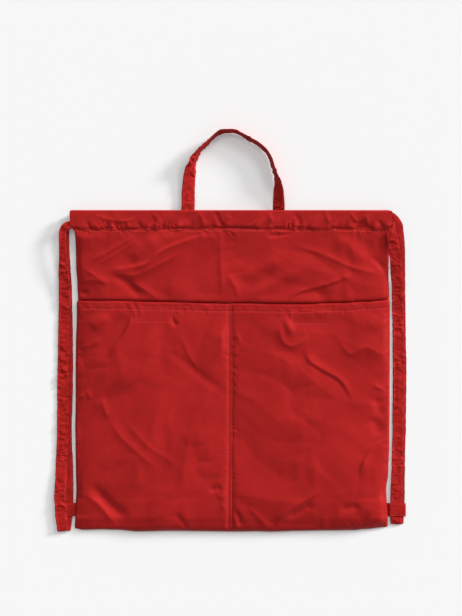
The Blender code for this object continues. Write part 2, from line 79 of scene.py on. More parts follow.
def bell(away: Array, half_width: float) -> Array:
    """1 at no distance, falling off to both sides towards 0."""
    return np.exp(-((away / half_width) ** 2))


def through(points: tuple, at: Array) -> Array:
    """Values on a smooth curve through points.

    Args:
        points: Pairs of a place and the value there, with the places rising.
        at: The places to read.

    Returns:
        The value at each place.
    """
    places, values = np.array(points, float).T
    at = np.asarray(at, float)
    i = np.clip(np.searchsorted(places, at) - 1, 0, len(places) - 2)
    return mix(values[i], values[i + 1], smooth((at - places[i]) / (places[i + 1] - places[i])))


def smooth_line(points: Array, steps: int) -> Array:
    """A Catmull-Rom curve through points.

    Args:
        points: Rows of coordinates.
        steps: How many steps the curve takes between each two points.

    Returns:
        The curve's points, in rows.
    """
    given = np.array(points, float)
    padded = np.vstack([given[:1], given, given[-1:]])
    t = (np.arange(steps) / steps)[:, None]
    runs = []
    for p0, p1, p2, p3 in zip(padded, padded[1:], padded[2:], padded[3:]):
        runs.append(0.5 * (2 * p1 + (p2 - p0) * t + (2 * p0 - 5 * p1 + 4 * p2 - p3) * t**2
                           + (3 * p1 - p0 - 3 * p2 + p3) * t**3))
    return np.vstack([*runs, given[-1:]])


def stations(*runs: tuple[float, float]) -> Array:
    """Rising places with a step that changes from run to run.

    Args:
        runs: Pairs of the place where a run ends and the step within it. The first pair's place is
            where the row starts, and its step isn't used.

    Returns:
        The places.
    """
    found = [runs[0][0]]
    for end, step in runs[1:]:
        start = found[-1]
        count = max(1, round((end - start) / step))
        found += [start + (end - start) * (i + 1) / count for i in range(count)]
    return np.array(found)


class SoftNoise:
    """Seeded smooth noise over a plane, from -1 to 1, with one cell to each unit."""

    def __init__(self, seed: int) -> None:
        """Draws the noise's lattice from its seed."""
        self.lattice = np.random.default_rng(seed).uniform(-1.0, 1.0, (64, 64))

    def at(self, x: Array, y: Array = 0.0) -> Array:
        """The noise at any places.

        Args:
            x: Places across the lattice, in cells.
            y: Places up it, in cells.

        Returns:
            Values from -1 to 1.
        """
        x, y = np.broadcast_arrays(np.asarray(x, float), np.asarray(y, float))
        left, low = np.floor(x).astype(int), np.floor(y).astype(int)
        u, v = x - left, y - low
        u, v = u**3 * (u * (u * 6 - 15) + 10), v**3 * (v * (v * 6 - 15) + 10)

        def corner(i: int, j: int) -> Array:
            """The lattice value at one corner of each place's cell."""
            return self.lattice[(left + i) % 64, (low + j) % 64]

        return mix(mix(corner(0, 0), corner(1, 0), u), mix(corner(0, 1), corner(1, 1), u), v)

    def ridged(self, x: Array, y: Array = 0.0) -> Array:
        """Noise folded at zero, so that it has sharp creases: from 0 on a crease up to 1."""
        return np.abs(self.at(x, y))

    def facets(self, x: Array, y: Array, degrees: float, along: float, across: float) -> Array:
        """Flat three-cornered facets with sharp edges between them, drawn out in one direction.

        Args:
            x: Places across the cloth, in metres.
            y: Places up the cloth, in metres.
            degrees: The direction that the facets are drawn out in.
            along: Their usual length, in metres.
            across: Their usual width, in metres.

        Returns:
            Values from -1 to 1.
        """
        c, s = math.cos(math.radians(degrees)), math.sin(math.radians(degrees))
        x, y = (x * c + y * s) / along + 5.3, (y * c - x * s) / across + 3.1
        left, low = np.floor(x).astype(int), np.floor(y).astype(int)
        u, v = x - left, y - low
        near, far = self.lattice[left % 64, low % 64], self.lattice[(left + 1) % 64, (low + 1) % 64]
        right, above = self.lattice[(left + 1) % 64, low % 64], self.lattice[left % 64, (low + 1) % 64]
        return np.where(u >= v, near + (right - near) * u + (far - right) * v,
                        near + (far - above) * u + (above - near) * v)

    def turned(self, x: Array, y: Array, degrees: float, along: float, across: float) -> Array:
        """Creased noise drawn out in one direction.

        Args:
            x: Places across the cloth, in metres.
            y: Places up the cloth, in metres.
            degrees: The direction that the creases run in.
            along: Their usual length, in metres.
            across: Their usual spacing, in metres.

        Returns:
            Values from 0 on a crease up to 1.
        """
        c, s = math.cos(math.radians(degrees)), math.sin(math.radians(degrees))
        return self.ridged((x * c + y * s) / along + 11.3, (y * c - x * s) / across + 7.7)


def select_only(piece: Piece) -> None:
    """Leaves one object selected and active, for the operators that act on what is selected.

    Args:
        piece: The object.
    """
    bpy.ops.object.select_all(action="DESELECT")
    piece.select_set(True)
    bpy.context.view_layer.objects.active = piece


def cloth_grid(name: str, places: Array, flat: Array, closed: bool = False) -> Piece:
    """A grid shaped by moving its points, with a UV map in metres of flat cloth.

    Args:
        name: The piece's name.
        places: Rows by columns by 3, where each point goes, in metres.
        flat: Rows by columns by 2, where each point lies on the flat cloth, in metres.
        closed: Whether its first and last columns, or rows, meet and are merged.

    Returns:
        The new object.
    """
    rows, columns = places.shape[0] - 1, places.shape[1] - 1
    bpy.ops.object.select_all(action="DESELECT")
    bpy.ops.mesh.primitive_grid_add(x_subdivisions=columns, y_subdivisions=rows, size=1.0)
    made = bpy.context.active_object
    made.name = made.data.name = name
    mesh = made.data
    start = np.empty(len(mesh.vertices) * 3)
    mesh.vertices.foreach_get("co", start)
    start = start.reshape(-1, 3)
    column = np.rint((start[:, 0] + 0.5) * columns).astype(int)
    row = np.rint((start[:, 1] + 0.5) * rows).astype(int)
    mesh.vertices.foreach_set("co", places[row, column].astype(np.float32).ravel())
    corners = np.empty(len(mesh.loops), np.int32)
    mesh.loops.foreach_get("vertex_index", corners)
    mesh.uv_layers.active.data.foreach_set("uv", flat[row, column][corners].astype(np.float32).ravel())
    mesh.update()
    if closed:
        select_only(made)
        bpy.ops.object.mode_set(mode="EDIT")
        bpy.ops.mesh.select_all(action="SELECT")
        bpy.ops.mesh.remove_doubles(threshold=2e-6)
        bpy.ops.mesh.normals_make_consistent(inside=False)
        bpy.ops.object.mode_set(mode="OBJECT")
    return made


def give_wall(piece: Piece, thickness: float) -> None:
    """Turns an open cloth surface into a closed sheet.

    Args:
        piece: The surface.
        thickness: The sheet's thickness, half of it to each side, in metres.
    """
    select_only(piece)
    wall = piece.modifiers.new("Cloth", "SOLIDIFY")
    wall.thickness, wall.offset, wall.use_even_offset = thickness, 0.0, False
    bpy.ops.object.modifier_apply(modifier=wall.name)


def shade(piece: Piece, degrees: float = 60.0) -> None:
    """Shades a piece smooth, apart from edges sharper than this."""
    select_only(piece)
    bpy.ops.object.shade_smooth_by_angle(angle=math.radians(degrees))


# ---- Finishes ----


def linear(hex_colour: str) -> tuple[float, float, float, float]:
    """The linear colour that a shader takes for an sRGB one.

    Args:
        hex_colour: Red, green and blue, each as two hexadecimal digits.

    Returns:
        Red, green, blue and an alpha of 1.
    """
    parts = [int(hex_colour[i:i + 2], 16) / 255 for i in (0, 2, 4)]
    r, g, b = (c / 12.92 if c <= 0.04045 else ((c + 0.055) / 1.055) ** 2.4 for c in parts)
    return r, g, b, 1.0


def add_node(tree: bpy.types.NodeTree, kind: str, inputs: dict | None = None,
             **settings: object) -> bpy.types.Node:
    """Adds a shader node.

    Args:
        tree: The material's or world's nodes.
        kind: Blender's name for the node.
        inputs: Its inputs by name or number. A socket is linked, and anything else is the value.
        settings: The node's own properties.

    Returns:
        The new node.
    """
    made = tree.nodes.new(kind)
    for key, value in settings.items():
        setattr(made, key, value)
    for key, value in (inputs or {}).items():
        if isinstance(value, bpy.types.NodeSocket):
            tree.links.new(value, made.inputs[key])
        else:
            made.inputs[key].default_value = value
    return made


def new_material(name: str) -> tuple[bpy.types.Material, bpy.types.NodeTree, bpy.types.Node]:
    """Makes an empty material.

    Args:
        name: The material's name.

    Returns:
        The material, its nodes and its Principled surface.
    """
    made = bpy.data.materials.new(name)
    made.use_nodes = True
    return made, made.node_tree, made.node_tree.nodes["Principled BSDF"]


# A wave texture's bands repeat every 2 pi / 20 of a unit at scale 1.
WAVE_PERIOD = 2 * math.pi / 20


def weave_height(tree: bpy.types.NodeTree, cloth_uv: bpy.types.NodeSocket,
                 thread: float) -> bpy.types.NodeSocket:
    """The height of a plain weave's over-and-under threads.

    Args:
        tree: The material's nodes.
        cloth_uv: Places on the flat cloth, in metres.
        thread: The drawn spacing of its threads, in metres.

    Returns:
        A socket with the height, from 0 to 1.
    """
    bands = [
        add_node(tree, "ShaderNodeTexWave", {"Vector": cloth_uv, "Scale": WAVE_PERIOD / (2 * thread),
                                             "Distortion": 0.0},
                 wave_type="BANDS", bands_direction=direction, wave_profile="SIN").outputs["Fac"]
        for direction in ("X", "Y")
    ]
    centred = [add_node(tree, "ShaderNodeMath", {0: band, 1: 0.5}, operation="SUBTRACT").outputs[0]
               for band in bands]
    crossed = add_node(tree, "ShaderNodeMath", {0: centred[0], 1: centred[1]}, operation="MULTIPLY")
    spread = {0: crossed.outputs[0], 1: 2.0, 2: 0.5}
    return add_node(tree, "ShaderNodeMath", spread, operation="MULTIPLY_ADD").outputs[0]


@dataclass(frozen=True)
class DyedNylon:
    """Plain-woven nylon of flat filament, dyed in the piece: a satin shine in the dye's own colour."""

    name: str
    colour: str
    shaded: str  # the colour where the dye lies a little darker
    roughness: float
    specular: float
    patch: float  # the usual size of the darker patches
    patch_roughness: float
    wrinkle_kind: str
    wrinkle: float  # the usual size of the wrinkles that are too fine for the mesh
    wrinkle_detail: float
    wrinkle_roughness: float
    wrinkle_distortion: float
    wrinkle_strength: float
    wrinkle_height: float
    index: float = 1.53
    sheen: str = "FF5A58"  # coloured, because much of the shine comes back from inside the yarn
    thread: float = 0.7 * MM  # drawn coarser than the real threads, which are too fine to show
    thread_strength: float = 0.18
    thread_height: float = 0.05 * MM

    def make(self) -> bpy.types.Material:
        """Builds the material.

        Returns:
            The new material.
        """
        material, tree, surface = new_material(self.name)
        cloth_uv = add_node(tree, "ShaderNodeUVMap").outputs["UV"]
        patches = add_node(tree, "ShaderNodeTexNoise", {
            "Vector": cloth_uv, "Scale": 1 / self.patch, "Detail": 3.0, "Roughness": self.patch_roughness})
        spread = add_node(tree, "ShaderNodeMapRange", {
            "Value": patches.outputs["Fac"], "From Min": 0.35, "From Max": 0.65})
        tint = add_node(tree, "ShaderNodeMix", {"Factor": spread.outputs["Result"]}, data_type="RGBA")
        tint.inputs[6].default_value, tint.inputs[7].default_value = linear(self.shaded), linear(self.colour)
        tree.links.new(tint.outputs[2], surface.inputs["Base Color"])
        surface.inputs["Roughness"].default_value = self.roughness
        surface.inputs["IOR"].default_value = self.index
        surface.inputs["Specular IOR Level"].default_value = self.specular
        surface.inputs["Specular Tint"].default_value = linear(self.sheen)
        wrinkles = add_node(tree, "ShaderNodeTexNoise", {
            "Vector": cloth_uv, "Scale": 1 / self.wrinkle, "Detail": self.wrinkle_detail,
            "Roughness": self.wrinkle_roughness, "Distortion": self.wrinkle_distortion},
            noise_type=self.wrinkle_kind)
        rough_bump = add_node(tree, "ShaderNodeBump", {
            "Height": wrinkles.outputs["Fac"], "Strength": self.wrinkle_strength,
            "Distance": self.wrinkle_height})
        weave = add_node(tree, "ShaderNodeBump", {
            "Height": weave_height(tree, cloth_uv, self.thread), "Strength": self.thread_strength,
            "Distance": self.thread_height, "Normal": rough_bump.outputs["Normal"]})
        tree.links.new(weave.outputs["Normal"], surface.inputs["Normal"])
        return material


PANEL_NYLON = DyedNylon(
    name="nylon taffeta, piece-dyed red and calendered", colour="A42120", shaded="991E1D", roughness=0.42,
    specular=0.3, patch=70 * MM, patch_roughness=0.6, wrinkle_kind="RIDGED_MULTIFRACTAL", wrinkle=9 * MM,
    wrinkle_detail=2.5, wrinkle_roughness=0.55, wrinkle_distortion=0.6, wrinkle_strength=0.5,
    wrinkle_height=0.22 * MM,
)
# Four layers of the same cloth are stiffer and a little duller, and pucker between their stitches.
STRAP_NYLON = DyedNylon(
    name="nylon taffeta strap, four layers sewn flat", colour="AB2422", shaded="971E1C", roughness=0.5,
    specular=0.05, patch=12 * MM, patch_roughness=0.5, wrinkle_kind="FBM", wrinkle=3 * MM,
    wrinkle_detail=2.0, wrinkle_roughness=0.5, wrinkle_distortion=0.4, wrinkle_strength=0.3,
    wrinkle_height=0.25 * MM,
)


@dataclass(frozen=True)
class SewingThread:
    """Spun polyester sewing thread, dyed red, a twisted yarn, painted a lighter red than the cloth as a
    painted highlight.
    """

    name: str = "polyester sewing thread, dyed red, painted highlight"
    # Lighter than the cloth's red: a painted highlight for the light that the twisted thread catches.
    colour: str = "CE4340"
    twist: float = 0.5 * MM

    def make(self) -> bpy.types.Material:
        """Builds the material.

        Returns:
            The new material.
        """
        material, tree, surface = new_material(self.name)
        place = add_node(tree, "ShaderNodeTexCoord").outputs["Object"]
        ply = add_node(tree, "ShaderNodeTexWave", {"Vector": place, "Scale": WAVE_PERIOD / self.twist,
                                                   "Distortion": 0.5}, bands_direction="DIAGONAL")
        bump = add_node(tree, "ShaderNodeBump", {"Height": ply.outputs["Fac"], "Strength": 0.4,
                                                 "Distance": 0.06 * MM})
        surface.inputs["Base Color"].default_value = linear(self.colour)
        surface.inputs["Roughness"].default_value = 0.55
        surface.inputs["Specular Tint"].default_value = linear("FF7A78")
        tree.links.new(bump.outputs["Normal"], surface.inputs["Normal"])
        return material


@dataclass(frozen=True)
class ClosureTape:
    """Woven nylon hook-and-loop tape: a matt ground under a close field of hooks or loops."""

    name: str = "nylon hook-and-loop tape, woven"
    colour: str = "8C1B1A"
    pitch: float = 1.4 * MM

    def make(self) -> bpy.types.Material:
        """Builds the material.

        Returns:
            The new material.
        """
        material, tree, surface = new_material(self.name)
        cloth_uv = add_node(tree, "ShaderNodeUVMap").outputs["UV"]
        cells = add_node(tree, "ShaderNodeTexVoronoi", {"Vector": cloth_uv, "Scale": 1 / self.pitch})
        bump = add_node(tree, "ShaderNodeBump", {"Height": cells.outputs["Distance"], "Strength": 0.8,
                                                 "Distance": 0.4 * MM})
        bump.invert = True
        surface.inputs["Base Color"].default_value = linear(self.colour)
        surface.inputs["Roughness"].default_value = 0.85
        tree.links.new(bump.outputs["Normal"], surface.inputs["Normal"])
        return material


@dataclass(frozen=True)
class TableTop:
    """The matt, near-white board that the bag is laid on."""

    name: str = "matt white photo board"
    colour: str = "F2F2F2"

    def make(self) -> bpy.types.Material:
        """Builds the material.

        Returns:
            The new material.
        """
        material, tree, surface = new_material(self.name)
        place = add_node(tree, "ShaderNodeTexCoord").outputs["Object"]
        grain = add_node(tree, "ShaderNodeTexNoise", {"Vector": place, "Scale": 40.0, "Detail": 2.0})
        bump = add_node(tree, "ShaderNodeBump", {"Height": grain.outputs["Fac"], "Strength": 0.02,
                                                 "Distance": 1.0 * MM})
        surface.inputs["Base Color"].default_value = linear(self.colour)
        surface.inputs["Roughness"].default_value = 0.95
        surface.inputs["Specular IOR Level"].default_value = 0.0
        tree.links.new(bump.outputs["Normal"], surface.inputs["Normal"])
        return material


@dataclass
class Finishes:
    """One material for each finish, made once and shared by the pieces."""

    nylon: bpy.types.Material = field(default_factory=PANEL_NYLON.make)
    strap: bpy.types.Material = field(default_factory=STRAP_NYLON.make)
    thread: bpy.types.Material = field(default_factory=lambda: SewingThread().make())
    tape: bpy.types.Material = field(default_factory=lambda: ClosureTape().make())


# ---- The bag's form ----


@dataclass(frozen=True)
class BodyForm:
    """The flat body's outline and the heights of its layers, with the same sizes as the solids.

    Places are in metres on the bag's own middle line. World X is shift further to the right.
    """

    width: float = 400 * MM
    height: float = 412 * MM
    casing_height: float = 27.5 * MM
    casing_overhang: float = 6.5 * MM
    casing_shift: float = -1.5 * MM
    left_pull: float = 1.6 * MM  # the left strap draws its end of the casing in
    casing_dip: float = 3 * MM
    seam_roll: float = 1.5 * MM
    seam_slope: float = 25 * MM
    loft: float = 10 * MM
    mouth_gap: float = 5.5 * MM
    shift: float = 2.9 * MM
    pocket_height: float = 290.3 * MM
    pocket_hem: float = 9 * MM
    pocket_puff: float = 2.6 * MM
    divider_x: float = -3 * MM
    closure: tuple[float, float] = (46 * MM, 15 * MM)
    closure_thickness: float = 0.8 * MM
    strap_width: float = 15.2 * MM
    strap_gathered: float = 9.8 * MM
    strap_thickness: float = 1.2 * MM
    tab_height: float = 17 * MM
    tab_up: float = 27 * MM
    tab_thickness: float = 0.8 * MM
    tab_clearance: float = 0.6 * MM
    handle_drop: float = 102 * MM
    front_tunnel: float = 2.6 * MM  # soft straps press flatter than the solids, which need clearances
    hem_in: float = 10.5 * MM  # how far a casing's inner layer stops short of its outer one, at each end
    roll_share: float = 0.42
    cloth: float = 0.5 * MM
    gap: float = 0.3 * MM
    # Height up the bag and distance out from its middle line, as its seams wander
    left_edge: tuple = ((-257, 201.9), (-250, 202.2), (-239.7, 201.5), (-203.7, 200.2), (-180.6, 200.7),
                        (-147, 201.2), (-124, 201.6), (-95.7, 201.1), (-55.8, 201.1), (-17.2, 200.7),
                        (12.3, 199.6), (36.1, 199.4), (39.4, 198.6), (58.6, 199.5), (83.1, 201.1),
                        (112.7, 201.5), (128.1, 202.3), (160, 202.3))
    right_edge: tuple = ((-257, 197.9), (-248.7, 198.5), (-237.1, 198.2), (-219.1, 197.1), (-203.7, 196.6),
                         (-180.6, 199.4), (-147.1, 200.5), (-89.2, 200.9), (-17.2, 201.2), (45.8, 201.1),
                         (71.5, 200.2), (110.1, 200.9), (128.1, 199.2), (160, 199.2))
    foot: tuple = ((-204, -251.6), (-198.9, -253.6), (-189.9, -255.1), (-166.7, -254.6), (-147.5, -255.1),
                   (-119.2, -257.2), (-80.6, -256.4), (9.4, -257.4), (32.6, -257.0), (48, -257.5),
                   (86.6, -256.4), (125.2, -255.9), (157.3, -255.5), (170.2, -254.1), (197.2, -251.6),
                   (204, -249.6))
    pocket_mouth: tuple = ((-203, 3.6), (-150, 3.4), (-84.4, 2.0), (-7.3, 0.1), (9.4, 0.4), (60, -0.4),
                           (90.5, -0.6), (140, 1.0), (174, 2.8), (203, 5.2))

    @property
    def half_width(self) -> float:
        """Half the body's width."""
        return self.width / 2

    @property
    def bottom_y(self) -> float:
        """Where the bottom seam lies."""
        return -(self.height + self.handle_drop) / 2

    @property
    def top_y(self) -> float:
        """Where the mouth's fold lies."""
        return self.bottom_y + self.height

    @property
    def fold_y(self) -> float:
        """Where a casing's outer face ends and its fold begins."""
        return self.top_y - self.tunnel / 2 - self.cloth / 2

    @property
    def stitch_y(self) -> float:
        """Where the casing's stitch line lies."""
        return self.top_y - self.casing_height

    @property
    def pocket_y(self) -> float:
        """Where the pocket's mouth lies, before it wanders."""
        return self.bottom_y + self.pocket_height

    @property
    def tab_y(self) -> float:
        """The middle of the corner tabs."""
        return self.bottom_y + self.tab_up

    @property
    def layer(self) -> float:
        """From the middle of one layer of cloth to the middle of the next."""
        return self.cloth + self.gap

    @property
    def tunnel(self) -> float:
        """From the outer to the inner layer of a casing."""
        return 2 * self.strap_thickness + 3 * self.gap + self.cloth

    @property
    def back_z(self) -> float:
        """The back panel's height."""
        return self.cloth / 2

    @property
    def back_hem_z(self) -> float:
        """The height of the back casing's inner layer."""
        return self.back_z + self.tunnel

    @property
    def front_hem_z(self) -> float:
        """The height of the front casing's inner layer."""
        return self.back_hem_z + self.cloth + self.mouth_gap

    @property
    def casing_z(self) -> float:
        """The height of the front casing's outer layer."""
        return self.front_hem_z + self.front_tunnel

    @property
    def stitch_z(self) -> float:
        """The height of the front panel on the casing's stitch line."""
        return self.front_hem_z + self.layer

    @property
    def closure_y(self) -> float:
        """The middle of the pocket's closures."""
        return self.pocket_y - self.pocket_hem - self.gap - self.closure[1] / 2

    def closure_x(self, side: int) -> float:
        """The middle of a closure, on the left (-1) or the right (1)."""
        return (self.divider_x + side * self.half_width) / 2

    def edge(self, side: int, y: Array) -> Array:
        """X of the left (-1) or right (1) seam at a height."""
        return side * through(self.left_edge if side < 0 else self.right_edge, y / MM) * MM

    def bottom(self, x: Array) -> Array:
        """Y of the bottom seam at a place across the bag."""
        return through(self.foot, x / MM) * MM

    def mouth_offset(self, x: Array) -> Array:
        """How far the pocket's mouth wanders from its line at a place across the bag."""
        return through(self.pocket_mouth, x / MM) * MM

    def from_seams(self, x: Array, y: Array) -> tuple[Array, Array]:
        """How far a place lies inside the nearer side seam and above the bottom seam."""
        inside = np.minimum(self.edge(1, y) - x, x - self.edge(-1, y))
        return np.maximum(0.0, inside), np.maximum(0.0, y - self.bottom(x))

    def rise(self, distance: Array) -> Array:
        """How fast the upper cloth rises from a seam: a small roll at once, then a long shallow slope."""
        roll, slope = 1 - np.exp(-distance / self.seam_roll), 1 - np.exp(-distance / self.seam_slope)
        return mix(slope, roll, self.roll_share)

    def seam_height(self, y: Array) -> Array:
        """Height of the side seam's upper layer, lifted where a corner tab is sewn into it.

        Args:
            y: Places up the bag.

        Returns:
            The height at each place.
        """
        over_tab = self.back_z + self.cloth + 2 * self.tab_thickness + 3 * self.gap
        past = np.abs(y - self.tab_y) - self.tab_height / 2 - self.tab_clearance
        return mix(over_tab, self.back_z + self.layer, smooth(past / (self.tab_height / 2)))

    def front_height(self, x: Array, y: Array) -> Array:
        """The front panel's height, from the bottom seam up to the casing's stitch line.

        Args:
            x: Places across the bag.
            y: Places up the bag.

        Returns:
            The height at each place.
        """
        from_side, from_bottom = self.from_seams(x, y)
        body = mix(self.seam_height(y), self.loft, self.rise(from_side) * self.rise(from_bottom))
        slit = 2 * self.strap_width
        return mix(body, self.stitch_z, smooth((y - (self.stitch_y - slit)) / slit))

    def over_closure(self, x: Array, y: Array) -> Array:
        """Where the cloth lies over either closure.

        Args:
            x: Places across the bag.
            y: Places up the bag.

        Returns:
            1 over a closure, fading to 0 around it.
        """
        fade_x, fade_y = 20 * MM, 13 * MM
        found = np.zeros_like(x)
        for side in (-1, 1):
            past_x = np.abs(x - self.closure_x(side)) - self.closure[0] / 2
            past_y = np.abs(y - self.closure_y) - self.closure[1] / 2
            found = np.maximum(found, (1 - smooth(past_x / fade_x)) * (1 - smooth(past_y / fade_y)))
        return found

    def world(self, x: Array, y: Array, z: Array) -> Array:
        """Places on the bag as places in the world, in a last axis of three."""
        x, y, z = np.broadcast_arrays(x + self.shift, y, z)
        return np.stack([x, y, z], axis=-1)


FORM = BodyForm()


# ---- Folds and creases ----


class FoldShape(Enum):
    """How a fold falls away from its line."""

    SOFT = "rounded on both sides"
    CREASE = "a sharp line with straight flanks"
    LEFT_LIP = "a long slope on the left of the line and a steep one on its right"
    RIGHT_LIP = "a long slope on the right of the line and a steep one on its left"


@dataclass(frozen=True)
class Fold:
    """One fold in the cloth, along points in millimetres on the bag. A negative height is a valley."""

    shape: FoldShape
    half_width: float
    height: float
    points: tuple
    taper: float = 0.3  # the share of its length over which it rises at each end

    def height_at(self, x: Array, y: Array) -> Array:
        """The fold's height, in millimetres.

        Args:
            x: Places across the bag, in millimetres.
            y: Places up the bag, in millimetres.

        Returns:
            The height at each place.
        """
        line = smooth_line(self.points, 5)
        steps = np.diff(line, axis=0)
        lengths = np.hypot(*steps.T)
        runs = np.concatenate([[0.0], np.cumsum(lengths)])
        reach = 4 * self.half_width
        near = np.nonzero((x > line[:, 0].min() - reach) & (x < line[:, 0].max() + reach)
                          & (y > line[:, 1].min() - reach) & (y < line[:, 1].max() + reach))
        nx, ny = x[near], y[near]
        nearest, side, share = np.full(nx.shape, 1e9), np.ones(nx.shape), np.zeros(nx.shape)
        for start, step, length, run in zip(line, steps, lengths, runs):
            px, py = nx - start[0], ny - start[1]
            t = np.clip((px * step[0] + py * step[1]) / length**2, 0, 1)
            away = np.hypot(px - step[0] * t, py - step[1] * t)
            closer = away < nearest
            nearest = np.where(closer, away, nearest)
            side = np.where(closer, np.sign(step[0] * py - step[1] * px), side)
            share = np.where(closer, (run + t * length) / runs[-1], share)
        taper = smooth(share / self.taper) * smooth((1 - share) / self.taper)
        found = np.zeros(x.shape)
        found[near] = self.height * self.profile(nearest / self.half_width, side) * taper
        return found

    def profile(self, away: Array, side: Array) -> Array:
        """The fold's height across its line, from 1 on the line down to 0.

        Args:
            away: Distances from the line, in half widths.
            side: 1 to the left of the line and -1 to its right.

        Returns:
            The share of the fold's height.
        """
        if self.shape is FoldShape.SOFT:
            return np.exp(-away**2)
        if self.shape is FoldShape.CREASE:
            return np.exp(-1.2 * away)
        steep = (side < 0) if self.shape is FoldShape.LEFT_LIP else (side > 0)
        return np.where(steep, np.exp(-((away * 3.2) ** 2)), np.exp(-1.0 * away))


# How high a fold of height 1 stands
FOLD_HEIGHT = 1.8 * MM


def fold_field(folds: tuple, x: Array, y: Array) -> Array:
    """The sum of these folds, in metres, at places in metres."""
    return FOLD_HEIGHT * sum(fold.height_at(x / MM, y / MM) for fold in folds)


SOFT, CREASE, LEFT_LIP, RIGHT_LIP = FoldShape

# Between the pocket's mouth and the casing
UPPER_FOLDS = (
    Fold(CREASE, 4, 1, ((-183.5, 86.9), (-139.7, 112.7), (-123, 121.7))),
    Fold(CREASE, 4, 0.8, ((-175.7, 81.8), (-134.6, 107.5), (-117.9, 119.1))),
    Fold(SOFT, 11, 1.3, ((-133.3, 86.9), (-112.7, 104.9), (-93.4, 121.7))),
    Fold(RIGHT_LIP, 7, 1.3, ((-164.2, 76), (-114.4, 84.4), (-94.2, 100.3), (-63.1, 113.9),
         (-26.6, 126))),
    Fold(CREASE, 6, 1, ((-164.2, 76), (-128.2, 70.5), (-103.7, 80), (-80.6, 92.1), (-53.6, 104.3))),
    Fold(SOFT, 6, -1.1, ((-161.6, 74.6), (-141.5, 65.1), (-125.6, 51.6), (-114.4, 38.1))),
    Fold(CREASE, 6, 1, ((-132, 63.8), (-110.2, 50.9), (-91.5, 38.1))),
    Fold(CREASE, 5, 0.8, ((-191.2, 80.5), (-174.5, 68.9), (-156.4, 59.9))),
    Fold(CREASE, 4, 0.7, ((-197, 61.2), (-178.3, 65.1), (-156.4, 58.6))),
    Fold(SOFT, 3, -1, ((-201.5, 48.4), (-193.7, 48.4), (-183.5, 48.4))),
    Fold(SOFT, 16, 1, ((-87, 63.8), (-67.7, 52.2), (-49.7, 40.6))),
    Fold(CREASE, 6, 0.8, ((-16.9, 127.4), (-15, 84.4), (-12.9, 38.1))),
    Fold(SOFT, 3, -1.4, ((42.9, 122.2), (59.6, 124), (77.6, 126))),
    Fold(CREASE, 5, 1, ((71.9, 114.8), (90.5, 106.2), (119.3, 96.2), (150.9, 81.8), (182.5, 73.2),
         (198.2, 66.4))),
    Fold(SOFT, 12, 1.4, ((126.5, 124.9), (152.2, 103.7), (176.6, 81.8))),
    Fold(SOFT, 4, -0.7, ((176.6, 96.2), (186.9, 86.9), (199.8, 74.1))),
    Fold(SOFT, 8, 1, ((90.5, 79.2), (50.6, 59.9), (11.6, 38.8))),
    Fold(SOFT, 9, 1.1, ((8.8, 67.6), (39, 80.5), (69.1, 93.4))),
    Fold(LEFT_LIP, 6, 1, ((67.7, 37.3), (83.4, 48.9), (119.3, 58.9), (159.5, 73.2))),
    Fold(CREASE, 5, 0.8, ((-7.3, 74.7), (4.3, 53.5), (7.4, 39.4))),
)

# On the front casing
CASING_FOLDS = (
    Fold(SOFT, 1.8, -0.9, ((-22.5, 153.5), (-19, 144), (-13, 133))),
    Fold(CREASE, 2.6, 0.8, ((-12, 134), (-7, 141), (-3, 149))),
    Fold(CREASE, 2.6, 0.8, ((-43, 153), (-39, 143), (-35, 132))),
    Fold(CREASE, 2.6, 0.7, ((45, 154), (48, 146), (52, 137))),
    Fold(CREASE, 2.6, 0.8, ((117.5, 156), (120.5, 146), (124, 136))),
    Fold(CREASE, 2.6, 0.7, ((150, 152), (155, 145), (161, 137))),
    Fold(CREASE, 2.6, 0.7, ((170, 150), (172, 142), (174, 132))),
    Fold(CREASE, 3.0, 0.6, ((-180, 150), (-162, 143), (-141, 140), (-120, 144))),
    Fold(CREASE, 2.6, 0.6, ((-104, 152), (-96, 143), (-91, 133))),
    Fold(SOFT, 2.0, -0.6, ((78, 151), (84, 143), (87, 134))),
)

